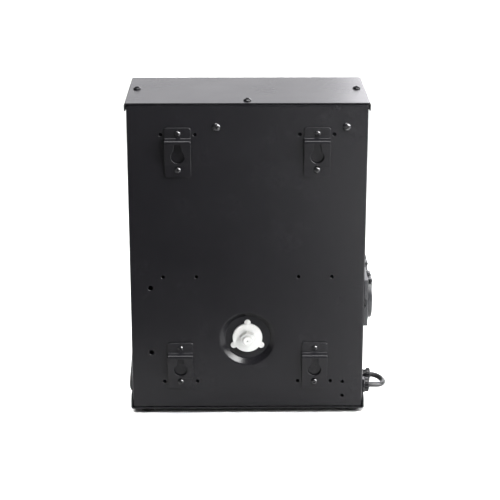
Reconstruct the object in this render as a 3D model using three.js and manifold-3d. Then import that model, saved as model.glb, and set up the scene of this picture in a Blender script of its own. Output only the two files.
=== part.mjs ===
// A wall-hung fog machine in a bent steel case, standing on its rubber feet.
// Millimetres, +Z up. The face with the fog outlet and the hangers looks toward -Y, the
// sockets and the cable glands are on the +X side. While it is built, X = 0 is the middle
// of the case, Y = 0 the outside of the outlet panel and Z = 0 the ground; the last step
// moves the origin under the middle of the whole machine.

import * as THREE from "three";
import { mergeVertices } from "three/addons/utils/BufferGeometryUtils.js";
import Module from "manifold-3d";

const wasm = await Module();
wasm.setup();

// Case
const CASE_WIDTH = 240;
const CASE_HEIGHT = 325;
const CASE_DEPTH = 128;
const SHEET = 1.5;
const BEND_RADIUS = 2;
const FLANGE = 14;
const TOP_LIP = 8;
const TRAY_LIP = 12;
const LIP_CHAMFER = 6;
const LIP_GAP = 0.5;
const COVER_TAB_WIDTH = 20;
const COVER_TAB_SPACING = 120;
const STIFFENER_REACH = 8;
const STIFFENER_INSET = 20;
const STIFFENER_GAP = 2;
const VENTS = 7;
const VENT_PITCH = 9;
const VENT_LENGTH = 70;
const VENT_HEIGHT = 3.2;
const VENT_FIRST = 128;

// Clearances: flat faces that seat on each other, and a pin or spigot in its hole
const SEAT = 0.3;
const FIT = 0.3;

// Feet
const FOOT_RADIUS = 7.2;
const FOOT_HEIGHT = 4.2;
const FOOT_STEM_RADIUS = 3;
const FOOT_INSET_LEFT = 15;
const FOOT_INSET_RIGHT = 9.6;
const FOOT_INSET_Y = 11;

// Screws: M4 holds the covers and the cradle, M3 the hangers
const M4 = { head: 4, rise: 2.4, shank: 1.95, length: 8 };
const M3 = { head: 2.9, rise: 1.9, shank: 1.45, length: 6 };
const COVER_SCREW_INSET = 7.2;
const COVER_SCREW_DEPTH = 69;
const REAR_SCREW_INSET = 11.8;
const FRONT_SCREW_DROP = 20;

// Small holes of the outlet panel, heights above its lower edge
const SMALL_HOLE = 1.75;
const SMALL_HOLE_COLUMNS = [52.6, 86.8];
const TOP_ROW_DROP = 30.6;
const SMALL_HOLE_ROWS = [28.8, 144.1, CASE_HEIGHT - TOP_ROW_DROP];
const LARGE_HOLE = 2.5;
const LARGE_HOLE_PLACES = [[-100, 61.4], [-100, 132.2]];
const CORNER_HOLE_PLACES = [[99.5, 11.8], [99.5, 28]];

// Keyhole hangers
const HANGER_WIDTH = 27;
const HANGER_SHEET = 1.5;
const HANGER_SPACING = 140;
const HANGER_TOP_DROP = 30.5;
const HANGER_SCREW_HEIGHTS = [65.6, CASE_HEIGHT - HANGER_TOP_DROP];
const HANGER_SCREW_PITCH = 37.6;
const HANGER_TAB = 10.9;
const HANGER_SCREW_TO_END = 7;
const HANGER_STEP = 4.2;
const HANGER_STANDOFF = 6;
const HANGER_PLATE = 24.6;
const HANGER_CORNER = 2.5;
const KEYHOLE_DROP = 22.6;
const KEYHOLE_RADIUS = 6.7;
const KEYHOLE_SLOT = 6.8;
const HANGER_SLOT_WIDTH = 5.4;
const HANGER_SLOT_LENGTH = 8.7;

// Fog outlet, its height above the lower edge of the panel
const OUTLET_HEIGHT = 75.7;
const DISH_RADIUS = 29.3;
const DISH_FLAT_RADIUS = 22.4;
const DISH_DEPTH = 5;
const OUTLET_RADIUS = 15.4;
const OUTLET_THICKNESS = 2.8;
const OUTLET_EAR_RADIUS = 3.3;
const OUTLET_EAR_CIRCLE = 16.3;
const OUTLET_EAR_THICKNESS = 1.6;
const OUTLET_EAR_HOLE = 1.1;
const OUTLET_SPIGOT = 10.5;
const OUTLET_BORE = 4.2;
const HEX_RADIUS = 9;
const HEX_DEPTH = 4;
const HEX_TURN = 13;
const NOZZLE_BASE = 6.4;
const NOZZLE_TIP = 4.5;
const NOZZLE_STANDOUT = 7;
const NOZZLE_STEM = 3.9;
const NOZZLE_STEM_LENGTH = 14;
const NOZZLE_BORE = 0.5;

// Sockets with sprung lids, in the right side wall
const SOCKET_FLANGE = 50;
const SOCKET_FLANGE_THICKNESS = 4;
const SOCKET_CORNER = 1.5;
const SOCKET_HEIGHT = 113.7;
const SOCKET_FIRST_DEPTH = 28;
const SOCKET_PITCH = 58;
const SOCKET_BODY_RADIUS = 21.5;
const SOCKET_BODY_DEPTH = 31;
const WELL_RADIUS = 19.5;
const WELL_DEPTH = 17;
const CONTACT_RADIUS = 2.6;
const CONTACT_SPACING = 19;
const CONTACT_DEPTH = 10;
const LID_RADIUS = 22.9;
const LID_THICKNESS = 4.4;
const LID_HOLLOW = 2.4;
const LID_HOLLOW_RADII = [12.5, 16.2];
const LID_FLAT = 17.6;
const HINGE_HEIGHT = 20.6;
const KNUCKLE_RADIUS = 2.4;
const KNUCKLE_LENGTH = 22;
const SPRING_WINDOW = 9.4;
const LUG_THICKNESS = 3;
const PIN_RADIUS = 1;
const SPRING_WIRE = 0.3;
const SPRING_COIL_RADIUS = 1.75;
const SPRING_TURNS = 4.5;
const SPRING_LENGTH = 7.2;
const SPRING_LEG = 9;
const LATCH_SLOT = 7;

// Cable glands and the link lead between them
const GLAND_HEIGHT = 20;
const GLAND_FIRST_DEPTH = 12;
const GLAND_PITCH = 27.7;
const GLAND_HEX = 7.3;
const GLAND_HEX_THICKNESS = 3;
const GLAND_THREAD = 5.4;
const GLAND_TAIL = 9;
const NUT_RADIUS = 7.5;
const NUT_LENGTH = 4.1;
const NUT_RIBS = 10;
const NUT_BACKED_OFF = [0, 3.4];
const LEAD_RADIUS = 2.75;

// Air hood on the left side wall, heights above the lower edge of the panel
const HOOD_MOUTH = 15;
const HOOD_TOP = 66;
const HOOD_HALF_WIDTH = 30;
const HOOD_DEPTH_MIDDLE = 38;
const HOOD_STANDOUT = 7;
const HOOD_TOP_SHARE = 0.16;
const HOOD_SHEET = 1.2;
const HOOD_FLANGE = 5;

// Heater
const BLOCK_WIDTH = 72;
const BLOCK_DEPTH = 60;
const BLOCK_BACK = 30;
const BLOCK_FOOT = 38;
const INSULATION = 11;
const PASSAGE = 2;
const NIPPLE_RADIUS = 4;
const NIPPLE_REACH = 15;
const NIPPLE_DEPTH = 18;
const CARTRIDGE_RADIUS = 6;
const CARTRIDGE_STOP = 10;
const CARTRIDGE_PLACE = [18, 46];
const CUTOUT_RADIUS = 8;
const CUTOUT_HEIGHT = 9;
const CUTOUT_PLACE = [-20, 30];
const CRADLE_SHEET = 1.5;
const CRADLE_SIDE = 48;

// Fluid side. The shelf hangs from the top of the case, and the heater ends under it.
const SHELF_DROP = 119;
const SHELF_HEIGHT = CASE_HEIGHT - SHELF_DROP;
const ROOM_UNDER_SHELF = 48;
const BLOCK_HEIGHT = SHELF_HEIGHT - BLOCK_FOOT - ROOM_UNDER_SHELF;
const CARTRIDGE_LENGTH = BLOCK_HEIGHT - CARTRIDGE_STOP;
const SHELF_DEPTH = 104;
const SHELF_LIP = 10;
const SHELF_LEFT = -112;
const SHELF_RIGHT = 111;
const PANEL_SCREWS = [-31, 98.5];
const PANEL_SCREW_DROP = 24.2;
const PANEL_SCREW_HEIGHT = CASE_HEIGHT - PANEL_SCREW_DROP;
const TANK_LEFT = -28;
const TANK_RIGHT = 108;
const TANK_BACK = 9;
const TANK_FRONT = 100;
const TANK_HEIGHT = 92;
const TANK_WALL = 2.5;
const TANK_CORNER = 8;
const NECK_RADIUS = 18;
const NECK_RISE = 9;
const NECK_PLACE = [66, 52];
const CAP_WALL = 2;
const CAP_RISE = 4;
const SPOUT_RADIUS = 4;
const SPOUT_REACH = 8;
const SPOUT_DEPTH = 80;
const TUBE_RADIUS = 3;
const TUBE_BEND = 12;
const PUMP_X = -76;
const PUMP_BACK = 30;
const PUMP_LENGTH = 58;
const PUMP_BODY_RADIUS = 12;
const PUMP_COIL = 34;
const PUMP_COIL_LENGTH = 30;
const PUMP_NIPPLE = 3;
const PUMP_NIPPLE_REACH = 7;

// Electrical parts
const BOARD_DEPTHS = [18, 108];
const BOARD_HEIGHTS = [88, SHELF_HEIGHT - 10];
const BOARD_THICKNESS = 1.6;
const BOARD_STANDOFF = 7;
const STANDOFF_RADIUS = 3;
const STANDOFF_INSET = 5;
const TRANSFORMER_PLACE = [-104, 34];
const TRANSFORMER_CORE = [48, 46, 40];
const TRANSFORMER_COIL = 9;
const TRANSFORMER_FOOT = 2;
const TERMINALS = 5;
const TERMINAL_PITCH = 6.6;
const TERMINAL_DEPTH = 13;
const TERMINAL_HEIGHT = 17;
const TERMINAL_RIGHT = 109.5;
const TERMINAL_CLEARANCE = 4.4;
const TERMINAL_FOOT = HANGER_SCREW_HEIGHTS[0] + TERMINAL_CLEARANCE;

// Levels that follow from the sizes above
const TRAY_FLOOR = FOOT_HEIGHT + SHEET;
const PANEL_FOOT = TRAY_FLOOR + SEAT;
const CASE_TOP = PANEL_FOOT + CASE_HEIGHT;
const SHELL_TOP = CASE_TOP - SHEET - SEAT;
const SHELL_DEPTH = CASE_DEPTH - SHEET - SEAT;
const WALL = CASE_WIDTH / 2;
const INNER_WALL = WALL - SHEET;
const LIP_OUTSIDE = WALL + LIP_GAP + SHEET;
const aboveFoot = (height) => PANEL_FOOT + height;

const FINISHES = {
  caseBlack: { color: 0x26272a, roughness: 0.42, metalness: 0.2 },
  screwBlack: { color: 0x17181a, roughness: 0.35, metalness: 0.6 },
  rubber: { color: 0x0c0c0d, roughness: 0.85, metalness: 0 },
  outletWhite: { color: 0xf1f0ec, roughness: 0.5, metalness: 0 },
  socketGrey: { color: 0x2d2e32, roughness: 0.45, metalness: 0 },
  steel: { color: 0xa9abad, roughness: 0.35, metalness: 1 },
  aluminium: { color: 0xb9bbbe, roughness: 0.4, metalness: 1 },
  zinc: { color: 0x9aa0a4, roughness: 0.4, metalness: 1 },
  wool: { color: 0xd8d2c0, roughness: 0.95, metalness: 0 },
  tank: { color: 0xe4e6e2, roughness: 0.5, metalness: 0 },
  cap: { color: 0x1c1d20, roughness: 0.5, metalness: 0 },
  tube: { color: 0xdfe4e6, roughness: 0.4, metalness: 0 },
  brass: { color: 0xb08d4c, roughness: 0.35, metalness: 1 },
  board: { color: 0x1f5a38, roughness: 0.5, metalness: 0 },
  core: { color: 0x6d6f72, roughness: 0.5, metalness: 0.8 },
  terminal: { color: 0xdcdcd6, roughness: 0.5, metalness: 0 },
};

const machine = new THREE.Group();

function point(x, y) {
  return new THREE.Vector2(x, y);
}

// A closed solid from a three.js geometry, its seams welded and its faces turned outward
function solid(geometry) {
  const bare = geometry.clone();
  bare.deleteAttribute("normal");
  bare.deleteAttribute("uv");
  const welded = mergeVertices(bare, 1e-4);
  const places = welded.getAttribute("position");
  const corners = [0, 1, 2].map(() => new THREE.Vector3());
  const faces = [];
  let volume = 0;
  for (let i = 0; i < welded.index.count; i += 3) {
    const face = [0, 1, 2].map((k) => welded.index.getX(i + k));
    if (new Set(face).size === 3) {
      face.forEach((vertex, k) => corners[k].fromBufferAttribute(places, vertex));
      volume += corners[0].dot(corners[1].clone().cross(corners[2]));
      faces.push(face);
    }
  }
  const outward = volume > 0 ? faces : faces.map(([a, b, c]) => [a, c, b]);
  return new wasm.Manifold(new wasm.Mesh({
    numProp: 3,
    vertProperties: new Float32Array(places.array),
    triVerts: new Uint32Array(outward.flat()),
  }));
}

function joined(solids) {
  return solids.reduce((whole, next) => whole.add(next));
}

function cut(whole, tools) {
  return tools.reduce((left, tool) => left.subtract(tool), whole);
}

// Adds one named piece to the machine
function piece(name, shape, finish, place = [0, 0, 0]) {
  const cutMesh = shape.getMesh();
  const geometry = new THREE.BufferGeometry();
  geometry.setAttribute("position", new THREE.BufferAttribute(cutMesh.vertProperties, 3));
  geometry.setIndex(new THREE.BufferAttribute(cutMesh.triVerts, 1));
  geometry.computeVertexNormals();
  const material = new THREE.MeshStandardMaterial({ ...FINISHES[finish], flatShading: true });
  const mesh = new THREE.Mesh(geometry, material);
  mesh.name = name;
  mesh.position.set(...place);
  machine.add(mesh);
}

function box([x0, x1], [y0, y1], [z0, z1]) {
  const geometry = new THREE.BoxGeometry(x1 - x0, y1 - y0, z1 - z0);
  geometry.translate((x0 + x1) / 2, (y0 + y1) / 2, (z0 + z1) / 2);
  return solid(geometry);
}

// The turn that lays a shape drawn in its own plane, or a turned piece, along an axis.
// Along X the drawing's axes are Y and Z; along Y they are X and Z; along Z, X and Y.
const DRAWING = {
  x: new THREE.Matrix4().makeBasis(
    new THREE.Vector3(0, 1, 0), new THREE.Vector3(0, 0, 1), new THREE.Vector3(1, 0, 0)),
  y: new THREE.Matrix4().makeBasis(
    new THREE.Vector3(1, 0, 0), new THREE.Vector3(0, 0, 1), new THREE.Vector3(0, -1, 0)),
  z: new THREE.Matrix4(),
};
const SPINDLE = {
  x: new THREE.Matrix4().makeRotationZ(-Math.PI / 2),
  y: new THREE.Matrix4(),
  z: new THREE.Matrix4().makeRotationX(Math.PI / 2),
};

// A drawn shape pushed along an axis from one coordinate to another
function prism(axis, shape, from, to, curveSegments = 6) {
  const geometry = new THREE.ExtrudeGeometry(shape, {
    depth: to - from, bevelEnabled: false, curveSegments,
  });
  geometry.applyMatrix4(DRAWING[axis]);
  const start = axis === "y" ? to : from;
  geometry.translate(...["x", "y", "z"].map((name) => (name === axis ? start : 0)));
  return solid(geometry);
}

// A round rod along an axis; a and b are the other two coordinates in X, Y, Z order
function rod(axis, radius, from, to, [a, b], sides = 16, tipRadius = radius) {
  const geometry = new THREE.CylinderGeometry(tipRadius, radius, to - from, sides);
  geometry.translate(0, (from + to) / 2, 0);
  geometry.applyMatrix4(SPINDLE[axis]);
  const others = { x: [0, a, b], y: [a, 0, b], z: [a, b, 0] };
  geometry.translate(...others[axis]);
  return solid(geometry);
}

// A profile of [radius, height along the axis] turned about an axis
function turned(axis, profile, sides) {
  const geometry = new THREE.LatheGeometry(profile.map(([r, h]) => point(r, h)), sides);
  geometry.applyMatrix4(SPINDLE[axis]);
  return solid(geometry);
}

function roundedRectangle(x0, x1, y0, y1, radius) {
  const shape = new THREE.Shape();
  shape.moveTo(x0 + radius, y0);
  shape.lineTo(x1 - radius, y0);
  shape.absarc(x1 - radius, y0 + radius, radius, -Math.PI / 2, 0);
  shape.lineTo(x1, y1 - radius);
  shape.absarc(x1 - radius, y1 - radius, radius, 0, Math.PI / 2);
  shape.lineTo(x0 + radius, y1);
  shape.absarc(x0 + radius, y1 - radius, radius, Math.PI / 2, Math.PI);
  shape.lineTo(x0, y0 + radius);
  shape.absarc(x0 + radius, y0 + radius, radius, Math.PI, Math.PI * 1.5);
  return shape;
}

// The edge-on outline of a sheet bent at the corners of its middle line
function bentSheet(corners, thickness, outsideRadius, steps = 3) {
  const line = [];
  const middleRadius = outsideRadius - thickness / 2;
  corners.forEach((corner, i) => {
    const inner = i > 0 && i < corners.length - 1;
    if (!inner) {
      line.push(corner);
      return;
    }
    const arriving = corner.clone().sub(corners[i - 1]).normalize();
    const leaving = corners[i + 1].clone().sub(corner).normalize();
    const turn = Math.atan2(arriving.cross(leaving), arriving.dot(leaving));
    const setback = middleRadius * Math.tan(Math.abs(turn) / 2);
    const start = corner.clone().addScaledVector(arriving, -setback);
    const side = point(-arriving.y, arriving.x).multiplyScalar(Math.sign(turn));
    const centre = start.clone().addScaledVector(side, middleRadius);
    for (let k = 0; k <= steps; k += 1) {
      line.push(start.clone().rotateAround(centre, (turn * k) / steps));
    }
  });
  const offset = (distance) => line.map((place, i) => {
    const before = line[Math.max(i - 1, 0)];
    const after = line[Math.min(i + 1, line.length - 1)];
    const first = (i === 0 ? after.clone().sub(place) : place.clone().sub(before)).normalize();
    const second = (i === line.length - 1 ? place.clone().sub(before) : after.clone().sub(place)).normalize();
    const normal = point(-first.y - second.y, first.x + second.x).normalize();
    const stretch = 1 / Math.sqrt((1 + first.dot(second)) / 2);
    return place.clone().addScaledVector(normal, distance * stretch);
  });
  return new THREE.Shape([...offset(thickness / 2), ...offset(-thickness / 2).reverse()]);
}

// A pan-head screw along +Z with the seat of its head at Z = 0
function panScrew({ head, rise, shank, length }) {
  return [
    [0, -length], [shank, -length], [shank, 0], [head, 0], [head * 0.95, rise * 0.55],
    [head * 0.62, rise], [0, rise],
  ];
}

function screwUp(size) {
  return turned("z", panScrew(size), 8);
}

// The same screw with its head toward -Y or toward +Y
function screwAcross(size, towards) {
  const profile = panScrew(size).map(([r, h]) => [r, h * towards]);
  return turned("y", profile, 8);
}

const screwHole = ({ shank }) => shank + FIT;

function caseShell() {
  const half = WALL - SHEET / 2;
  const back = SHELL_DEPTH - SHEET / 2;
  const channel = bentSheet([
    point(-WALL + FLANGE, back), point(-half, back), point(-half, SHEET / 2),
    point(half, SHEET / 2), point(half, back), point(WALL - FLANGE, back),
  ], SHEET, BEND_RADIUS);
  let shell = prism("z", channel, PANEL_FOOT, SHELL_TOP);

  const flangeLevels = [[PANEL_FOOT, PANEL_FOOT + SHEET], [SHELL_TOP - SHEET, SHELL_TOP]];
  const relief = FLANGE + 6;
  flangeLevels.forEach((level) => {
    const rear = box([-WALL + relief, WALL - relief], [SHEET / 2, FLANGE + 2], level);
    const sides = [-1, 1].map((side) => {
      const span = [side * (WALL - SHEET / 2), side * (WALL - FLANGE)].sort((a, b) => a - b);
      return box(span, [relief, SHELL_DEPTH - relief], level);
    });
    shell = joined([shell, rear, ...sides]);
  });

  const wallSpans = [[-WALL - 1, -WALL + BEND_RADIUS], [WALL - BEND_RADIUS, WALL + 1]];
  const levels = [
    { span: [SHELL_TOP - BEND_RADIUS, SHELL_TOP + 1], centre: SHELL_TOP - BEND_RADIUS },
    { span: [PANEL_FOOT - 1, PANEL_FOOT + BEND_RADIUS], centre: PANEL_FOOT + BEND_RADIUS },
  ];
  levels.forEach(({ span, centre }) => {
    const rearStock = box([-WALL - 1, WALL + 1], [-1, BEND_RADIUS], span);
    const rearRound = rod("x", BEND_RADIUS, -WALL - 2, WALL + 2, [BEND_RADIUS, centre], 16);
    shell = shell.subtract(rearStock.subtract(rearRound));
    wallSpans.forEach((wallSpan, i) => {
      const x = (i === 0 ? -1 : 1) * (WALL - BEND_RADIUS);
      const stock = box(wallSpan, [-1, CASE_DEPTH], span);
      const round = rod("y", BEND_RADIUS, -2, CASE_DEPTH + 1, [x, centre], 16);
      shell = shell.subtract(stock.subtract(round));
    });
  });

  const z = aboveFoot(OUTLET_HEIGHT);
  const dishLine = [
    point(DISH_RADIUS + 4, SHEET / 2), point(DISH_RADIUS, SHEET / 2),
    point(DISH_FLAT_RADIUS, DISH_DEPTH + SHEET / 2),
    point(OUTLET_SPIGOT + FIT, DISH_DEPTH + SHEET / 2),
  ];
  const dishSection = bentSheet(dishLine, SHEET, BEND_RADIUS + 1, 2).getPoints();
  const dishProfile = [...dishSection, dishSection[0]].map(({ x, y }) => [x, y]);
  const dishGeometry = new THREE.LatheGeometry(dishProfile.map(([r, h]) => point(r, h)), 30);
  dishGeometry.translate(0, 0, z);
  shell = shell.subtract(rod("y", DISH_RADIUS + 3, -1, SHEET + 1, [0, z], 30));
  shell = shell.add(solid(dishGeometry));

  const holes = [];
  const panelHole = (x, height, radius, sides = 8) => {
    holes.push(rod("y", radius, -1, SHEET + 1, [x, aboveFoot(height)], sides));
  };
  SMALL_HOLE_ROWS.forEach((height) => {
    SMALL_HOLE_COLUMNS.forEach((x) => {
      panelHole(x, height, SMALL_HOLE);
      panelHole(-x, height, SMALL_HOLE);
    });
  });
  CORNER_HOLE_PLACES.forEach(([x, height]) => panelHole(x, height, SMALL_HOLE));
  LARGE_HOLE_PLACES.forEach(([x, height]) => panelHole(x, height, LARGE_HOLE, 10));
  PANEL_SCREWS.forEach((x) => panelHole(x, PANEL_SCREW_HEIGHT, screwHole(M4)));
  hangerPlaces().forEach(({ x, height }) => {
    panelHole(x, height, screwHole(M3), 6);
    panelHole(x, height - HANGER_SCREW_PITCH, screwHole(M3), 6);
  });
  outletEars().forEach(([x, up]) => {
    holes.push(rod("y", OUTLET_EAR_HOLE, 0, DISH_DEPTH + SHEET + 1, [x, z + up], 8));
  });

  socketPlaces().forEach((y) => {
    holes.push(rod("x", SOCKET_BODY_RADIUS + FIT, INNER_WALL - 1, WALL + 1,
      [y, aboveFoot(SOCKET_HEIGHT)], 24));
  });
  glandPlaces().forEach((y) => {
    holes.push(rod("x", GLAND_THREAD + FIT, INNER_WALL - 1, WALL + 1,
      [y, aboveFoot(GLAND_HEIGHT)], 12));
  });
  holes.push(hoodCone(FIT, FIT));

  coverScrewPlaces().forEach(([x, y]) => {
    holes.push(rod("z", screwHole(M4), SHELL_TOP - SHEET - 1, SHELL_TOP + 1, [x, y], 8));
  });
  frontScrewPlaces().forEach(([x, height]) => {
    holes.push(rod("y", screwHole(M4), SHELL_DEPTH - SHEET - 1, SHELL_DEPTH + 1, [x, height], 8));
  });
  footPlaces().forEach(([x, y]) => {
    holes.push(rod("z", FOOT_STEM_RADIUS + FIT, PANEL_FOOT - 1, PANEL_FOOT + SHEET + 1, [x, y], 10));
  });
  shell = cut(shell, holes);

  const standoffs = boardCorners().map(([y, height]) => rod("x", STANDOFF_RADIUS,
    -INNER_WALL - SHEET / 2, -INNER_WALL + BOARD_STANDOFF, [y, height], 10));
  piece("case_shell", joined([shell, ...standoffs]), "caseBlack");
}

function coverScrewPlaces() {
  const x = WALL - COVER_SCREW_INSET;
  return [[-x, COVER_SCREW_DEPTH], [x, COVER_SCREW_DEPTH], [0, REAR_SCREW_INSET]];
}

function frontScrewPlaces() {
  const x = WALL - SHEET - FLANGE / 2;
  return [[-x, SHELL_TOP - FRONT_SCREW_DROP], [x, SHELL_TOP - FRONT_SCREW_DROP]];
}

function footPlaces() {
  const left = FOOT_INSET_LEFT - WALL;
  const right = WALL - FOOT_INSET_RIGHT;
  return [FOOT_INSET_Y, CASE_DEPTH - FOOT_INSET_Y].flatMap((y) => [[left, y], [right, y]]);
}

function topCover() {
  const half = LIP_OUTSIDE - SHEET / 2;
  const sheet = CASE_TOP - SHEET / 2;
  const section = bentSheet([
    point(-half, CASE_TOP - TOP_LIP), point(-half, sheet), point(half, sheet),
    point(half, CASE_TOP - TOP_LIP),
  ], SHEET, BEND_RADIUS + 0.5);
  const holes = coverScrewPlaces().map((place) => rod("z", screwHole(M4),
    SHELL_TOP, CASE_TOP + 1, place, 8));
  piece("top_cover", cut(prism("y", section, 0, CASE_DEPTH), holes), "caseBlack");
  coverScrewPlaces().forEach(([x, y], i) => {
    piece(`cover_screw_${i + 1}`, screwUp(M4), "screwBlack", [x, y, CASE_TOP + SEAT]);
  });
}

function bottomTray() {
  const half = LIP_OUTSIDE - SHEET / 2;
  const floor = FOOT_HEIGHT + SHEET / 2;
  const rim = PANEL_FOOT + TRAY_LIP;
  const section = bentSheet([
    point(-half, rim), point(-half, floor), point(half, floor), point(half, rim),
  ], SHEET, BEND_RADIUS + 0.5);
  const corners = [0, CASE_DEPTH].map((y) => {
    const inward = y === 0 ? 1 : -1;
    const corner = new THREE.Shape([
      point(y - inward, rim + 1), point(y - inward, rim - LIP_CHAMFER - 1),
      point(y + inward * (LIP_CHAMFER + 1), rim + 1),
    ]);
    return prism("x", corner, -LIP_OUTSIDE - 1, LIP_OUTSIDE + 1);
  });
  const stems = footPlaces().map((place) => rod("z", FOOT_STEM_RADIUS + FIT,
    FOOT_HEIGHT - 1, TRAY_FLOOR + 1, place, 10));
  const tabSlots = coverTabSpans(FIT).map((span) => box(span,
    [SHELL_DEPTH + SEAT - FIT, CASE_DEPTH + 1], [FOOT_HEIGHT - 1, TRAY_FLOOR + 1]));
  const tray = cut(prism("y", section, 0, CASE_DEPTH), [...corners, ...stems, ...tabSlots]);
  piece("bottom_tray", tray, "caseBlack");
}

function coverTabSpans(clearance) {
  return [-1, 1].map((side) => {
    const middle = (side * COVER_TAB_SPACING) / 2;
    const reach = COVER_TAB_WIDTH / 2 + clearance;
    return [middle - reach, middle + reach];
  });
}

function frontCover() {
  const half = WALL - SEAT;
  const face = [SHELL_DEPTH + SEAT, CASE_DEPTH];
  const plate = box([-half, half], face, [PANEL_FOOT, SHELL_TOP]);
  const tabs = coverTabSpans(0).map((span) => box(span, face, [FOOT_HEIGHT + SEAT, PANEL_FOOT + 1]));
  const stiffeners = [-1, 1].map((side) => {
    const x = side * (WALL - FLANGE - SHEET - STIFFENER_GAP);
    return box([x - SHEET / 2, x + SHEET / 2], [SHELL_DEPTH - STIFFENER_REACH, face[0] + SHEET / 2],
      [PANEL_FOOT + STIFFENER_INSET, SHELL_TOP - STIFFENER_INSET]);
  });
  const holes = frontScrewPlaces().map((place) => rod("y", screwHole(M4),
    SHELL_DEPTH, CASE_DEPTH + 1, place, 8));
  const vents = Array.from({ length: VENTS }, (_, k) => {
    const z = aboveFoot(VENT_FIRST) + k * VENT_PITCH;
    const slot = roundedRectangle(-VENT_LENGTH / 2, VENT_LENGTH / 2,
      z - VENT_HEIGHT / 2, z + VENT_HEIGHT / 2, VENT_HEIGHT * 0.49);
    return prism("y", slot, SHELL_DEPTH, CASE_DEPTH + 1, 1);
  });
  piece("front_cover", cut(joined([plate, ...tabs, ...stiffeners]), [...holes, ...vents]), "caseBlack");
  frontScrewPlaces().forEach(([x, z], i) => {
    piece(`front_screw_${i + 1}`, screwAcross(M4, 1), "screwBlack", [x, CASE_DEPTH + SEAT, z]);
  });
}

function feet() {
  const stemTop = SHEET * 2 + SEAT + 2.5;
  const profile = [
    [0, -FOOT_HEIGHT], [FOOT_RADIUS - 0.9, -FOOT_HEIGHT], [FOOT_RADIUS, -FOOT_HEIGHT + 1],
    [FOOT_RADIUS, -SEAT], [FOOT_STEM_RADIUS, -SEAT], [FOOT_STEM_RADIUS, stemTop - 1],
    [FOOT_STEM_RADIUS - 1, stemTop], [0, stemTop],
  ];
  footPlaces().forEach(([x, y], i) => {
    piece(`foot_${i + 1}`, turned("z", profile, 14), "rubber", [x, y, FOOT_HEIGHT]);
  });
}

function hangerPlaces() {
  const x = HANGER_SPACING / 2;
  const [lower, upper] = HANGER_SCREW_HEIGHTS;
  return [
    { name: "upper_left", x: -x, height: upper }, { name: "upper_right", x, height: upper },
    { name: "lower_left", x: -x, height: lower }, { name: "lower_right", x, height: lower },
  ];
}

// A strap joggled out at the top of its keyhole plate, which slopes back to the panel.
// Its origin is the upper screw's place on the face of the panel.
function hangerSolid() {
  const seated = -SEAT - HANGER_SHEET / 2;
  const proud = seated - HANGER_STANDOFF;
  const top = HANGER_SCREW_TO_END;
  const bend = top - HANGER_TAB;
  const plateTop = bend - HANGER_STEP;
  const plateFoot = plateTop - HANGER_PLATE;
  const foot = plateFoot - HANGER_TAB;
  const line = [
    point(seated, top), point(seated, bend), point(proud, plateTop),
    point(seated, plateFoot), point(seated, foot),
  ];
  const half = HANGER_WIDTH / 2;
  const strip = prism("x", bentSheet(line, HANGER_SHEET, HANGER_SHEET + 0.8, 2), -half, half);
  const outline = prism("y", roundedRectangle(-half, half, foot, top, HANGER_CORNER),
    -HANGER_STANDOFF * 2, 1, 2);

  const through = [-HANGER_STANDOFF * 2, 1];
  const keyhole = new THREE.Shape();
  const slotHalf = KEYHOLE_SLOT / 2;
  const meet = Math.asin(slotHalf / KEYHOLE_RADIUS);
  const slotTop = plateTop - HANGER_SHEET;
  keyhole.moveTo(-slotHalf, -KEYHOLE_DROP + KEYHOLE_RADIUS * Math.cos(meet));
  keyhole.absarc(0, -KEYHOLE_DROP, KEYHOLE_RADIUS, Math.PI / 2 + meet, Math.PI * 2.5 - meet);
  keyhole.lineTo(slotHalf, slotTop);
  keyhole.lineTo(-slotHalf, slotTop);

  const slotRadius = HANGER_SLOT_WIDTH / 2;
  const slot = roundedRectangle(-slotRadius, slotRadius, -HANGER_SCREW_PITCH - slotRadius,
    -HANGER_SCREW_PITCH - slotRadius + HANGER_SLOT_LENGTH, slotRadius * 0.98);
  return cut(strip.intersect(outline), [
    prism("y", keyhole, ...through, 9),
    prism("y", slot, ...through, 2),
    rod("y", screwHole(M3), ...through, [0, 0], 8),
  ]);
}

function hangers() {
  const strap = hangerSolid();
  hangerPlaces().forEach(({ name, x, height }) => {
    const z = aboveFoot(height);
    const seat = -HANGER_SHEET - SEAT * 2;
    piece(`hanger_${name}`, strap, "caseBlack", [x, 0, z]);
    piece(`hanger_${name}_top_screw`, screwAcross(M3, -1), "screwBlack", [x, seat, z]);
    piece(`hanger_${name}_foot_screw`, screwAcross(M3, -1), "screwBlack",
      [x, seat, z - HANGER_SCREW_PITCH]);
  });
}

function outletEars() {
  return [90, 210, 330].map((degrees) => {
    const angle = THREE.MathUtils.degToRad(degrees);
    return [OUTLET_EAR_CIRCLE * Math.cos(angle), OUTLET_EAR_CIRCLE * Math.sin(angle)];
  });
}

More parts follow.
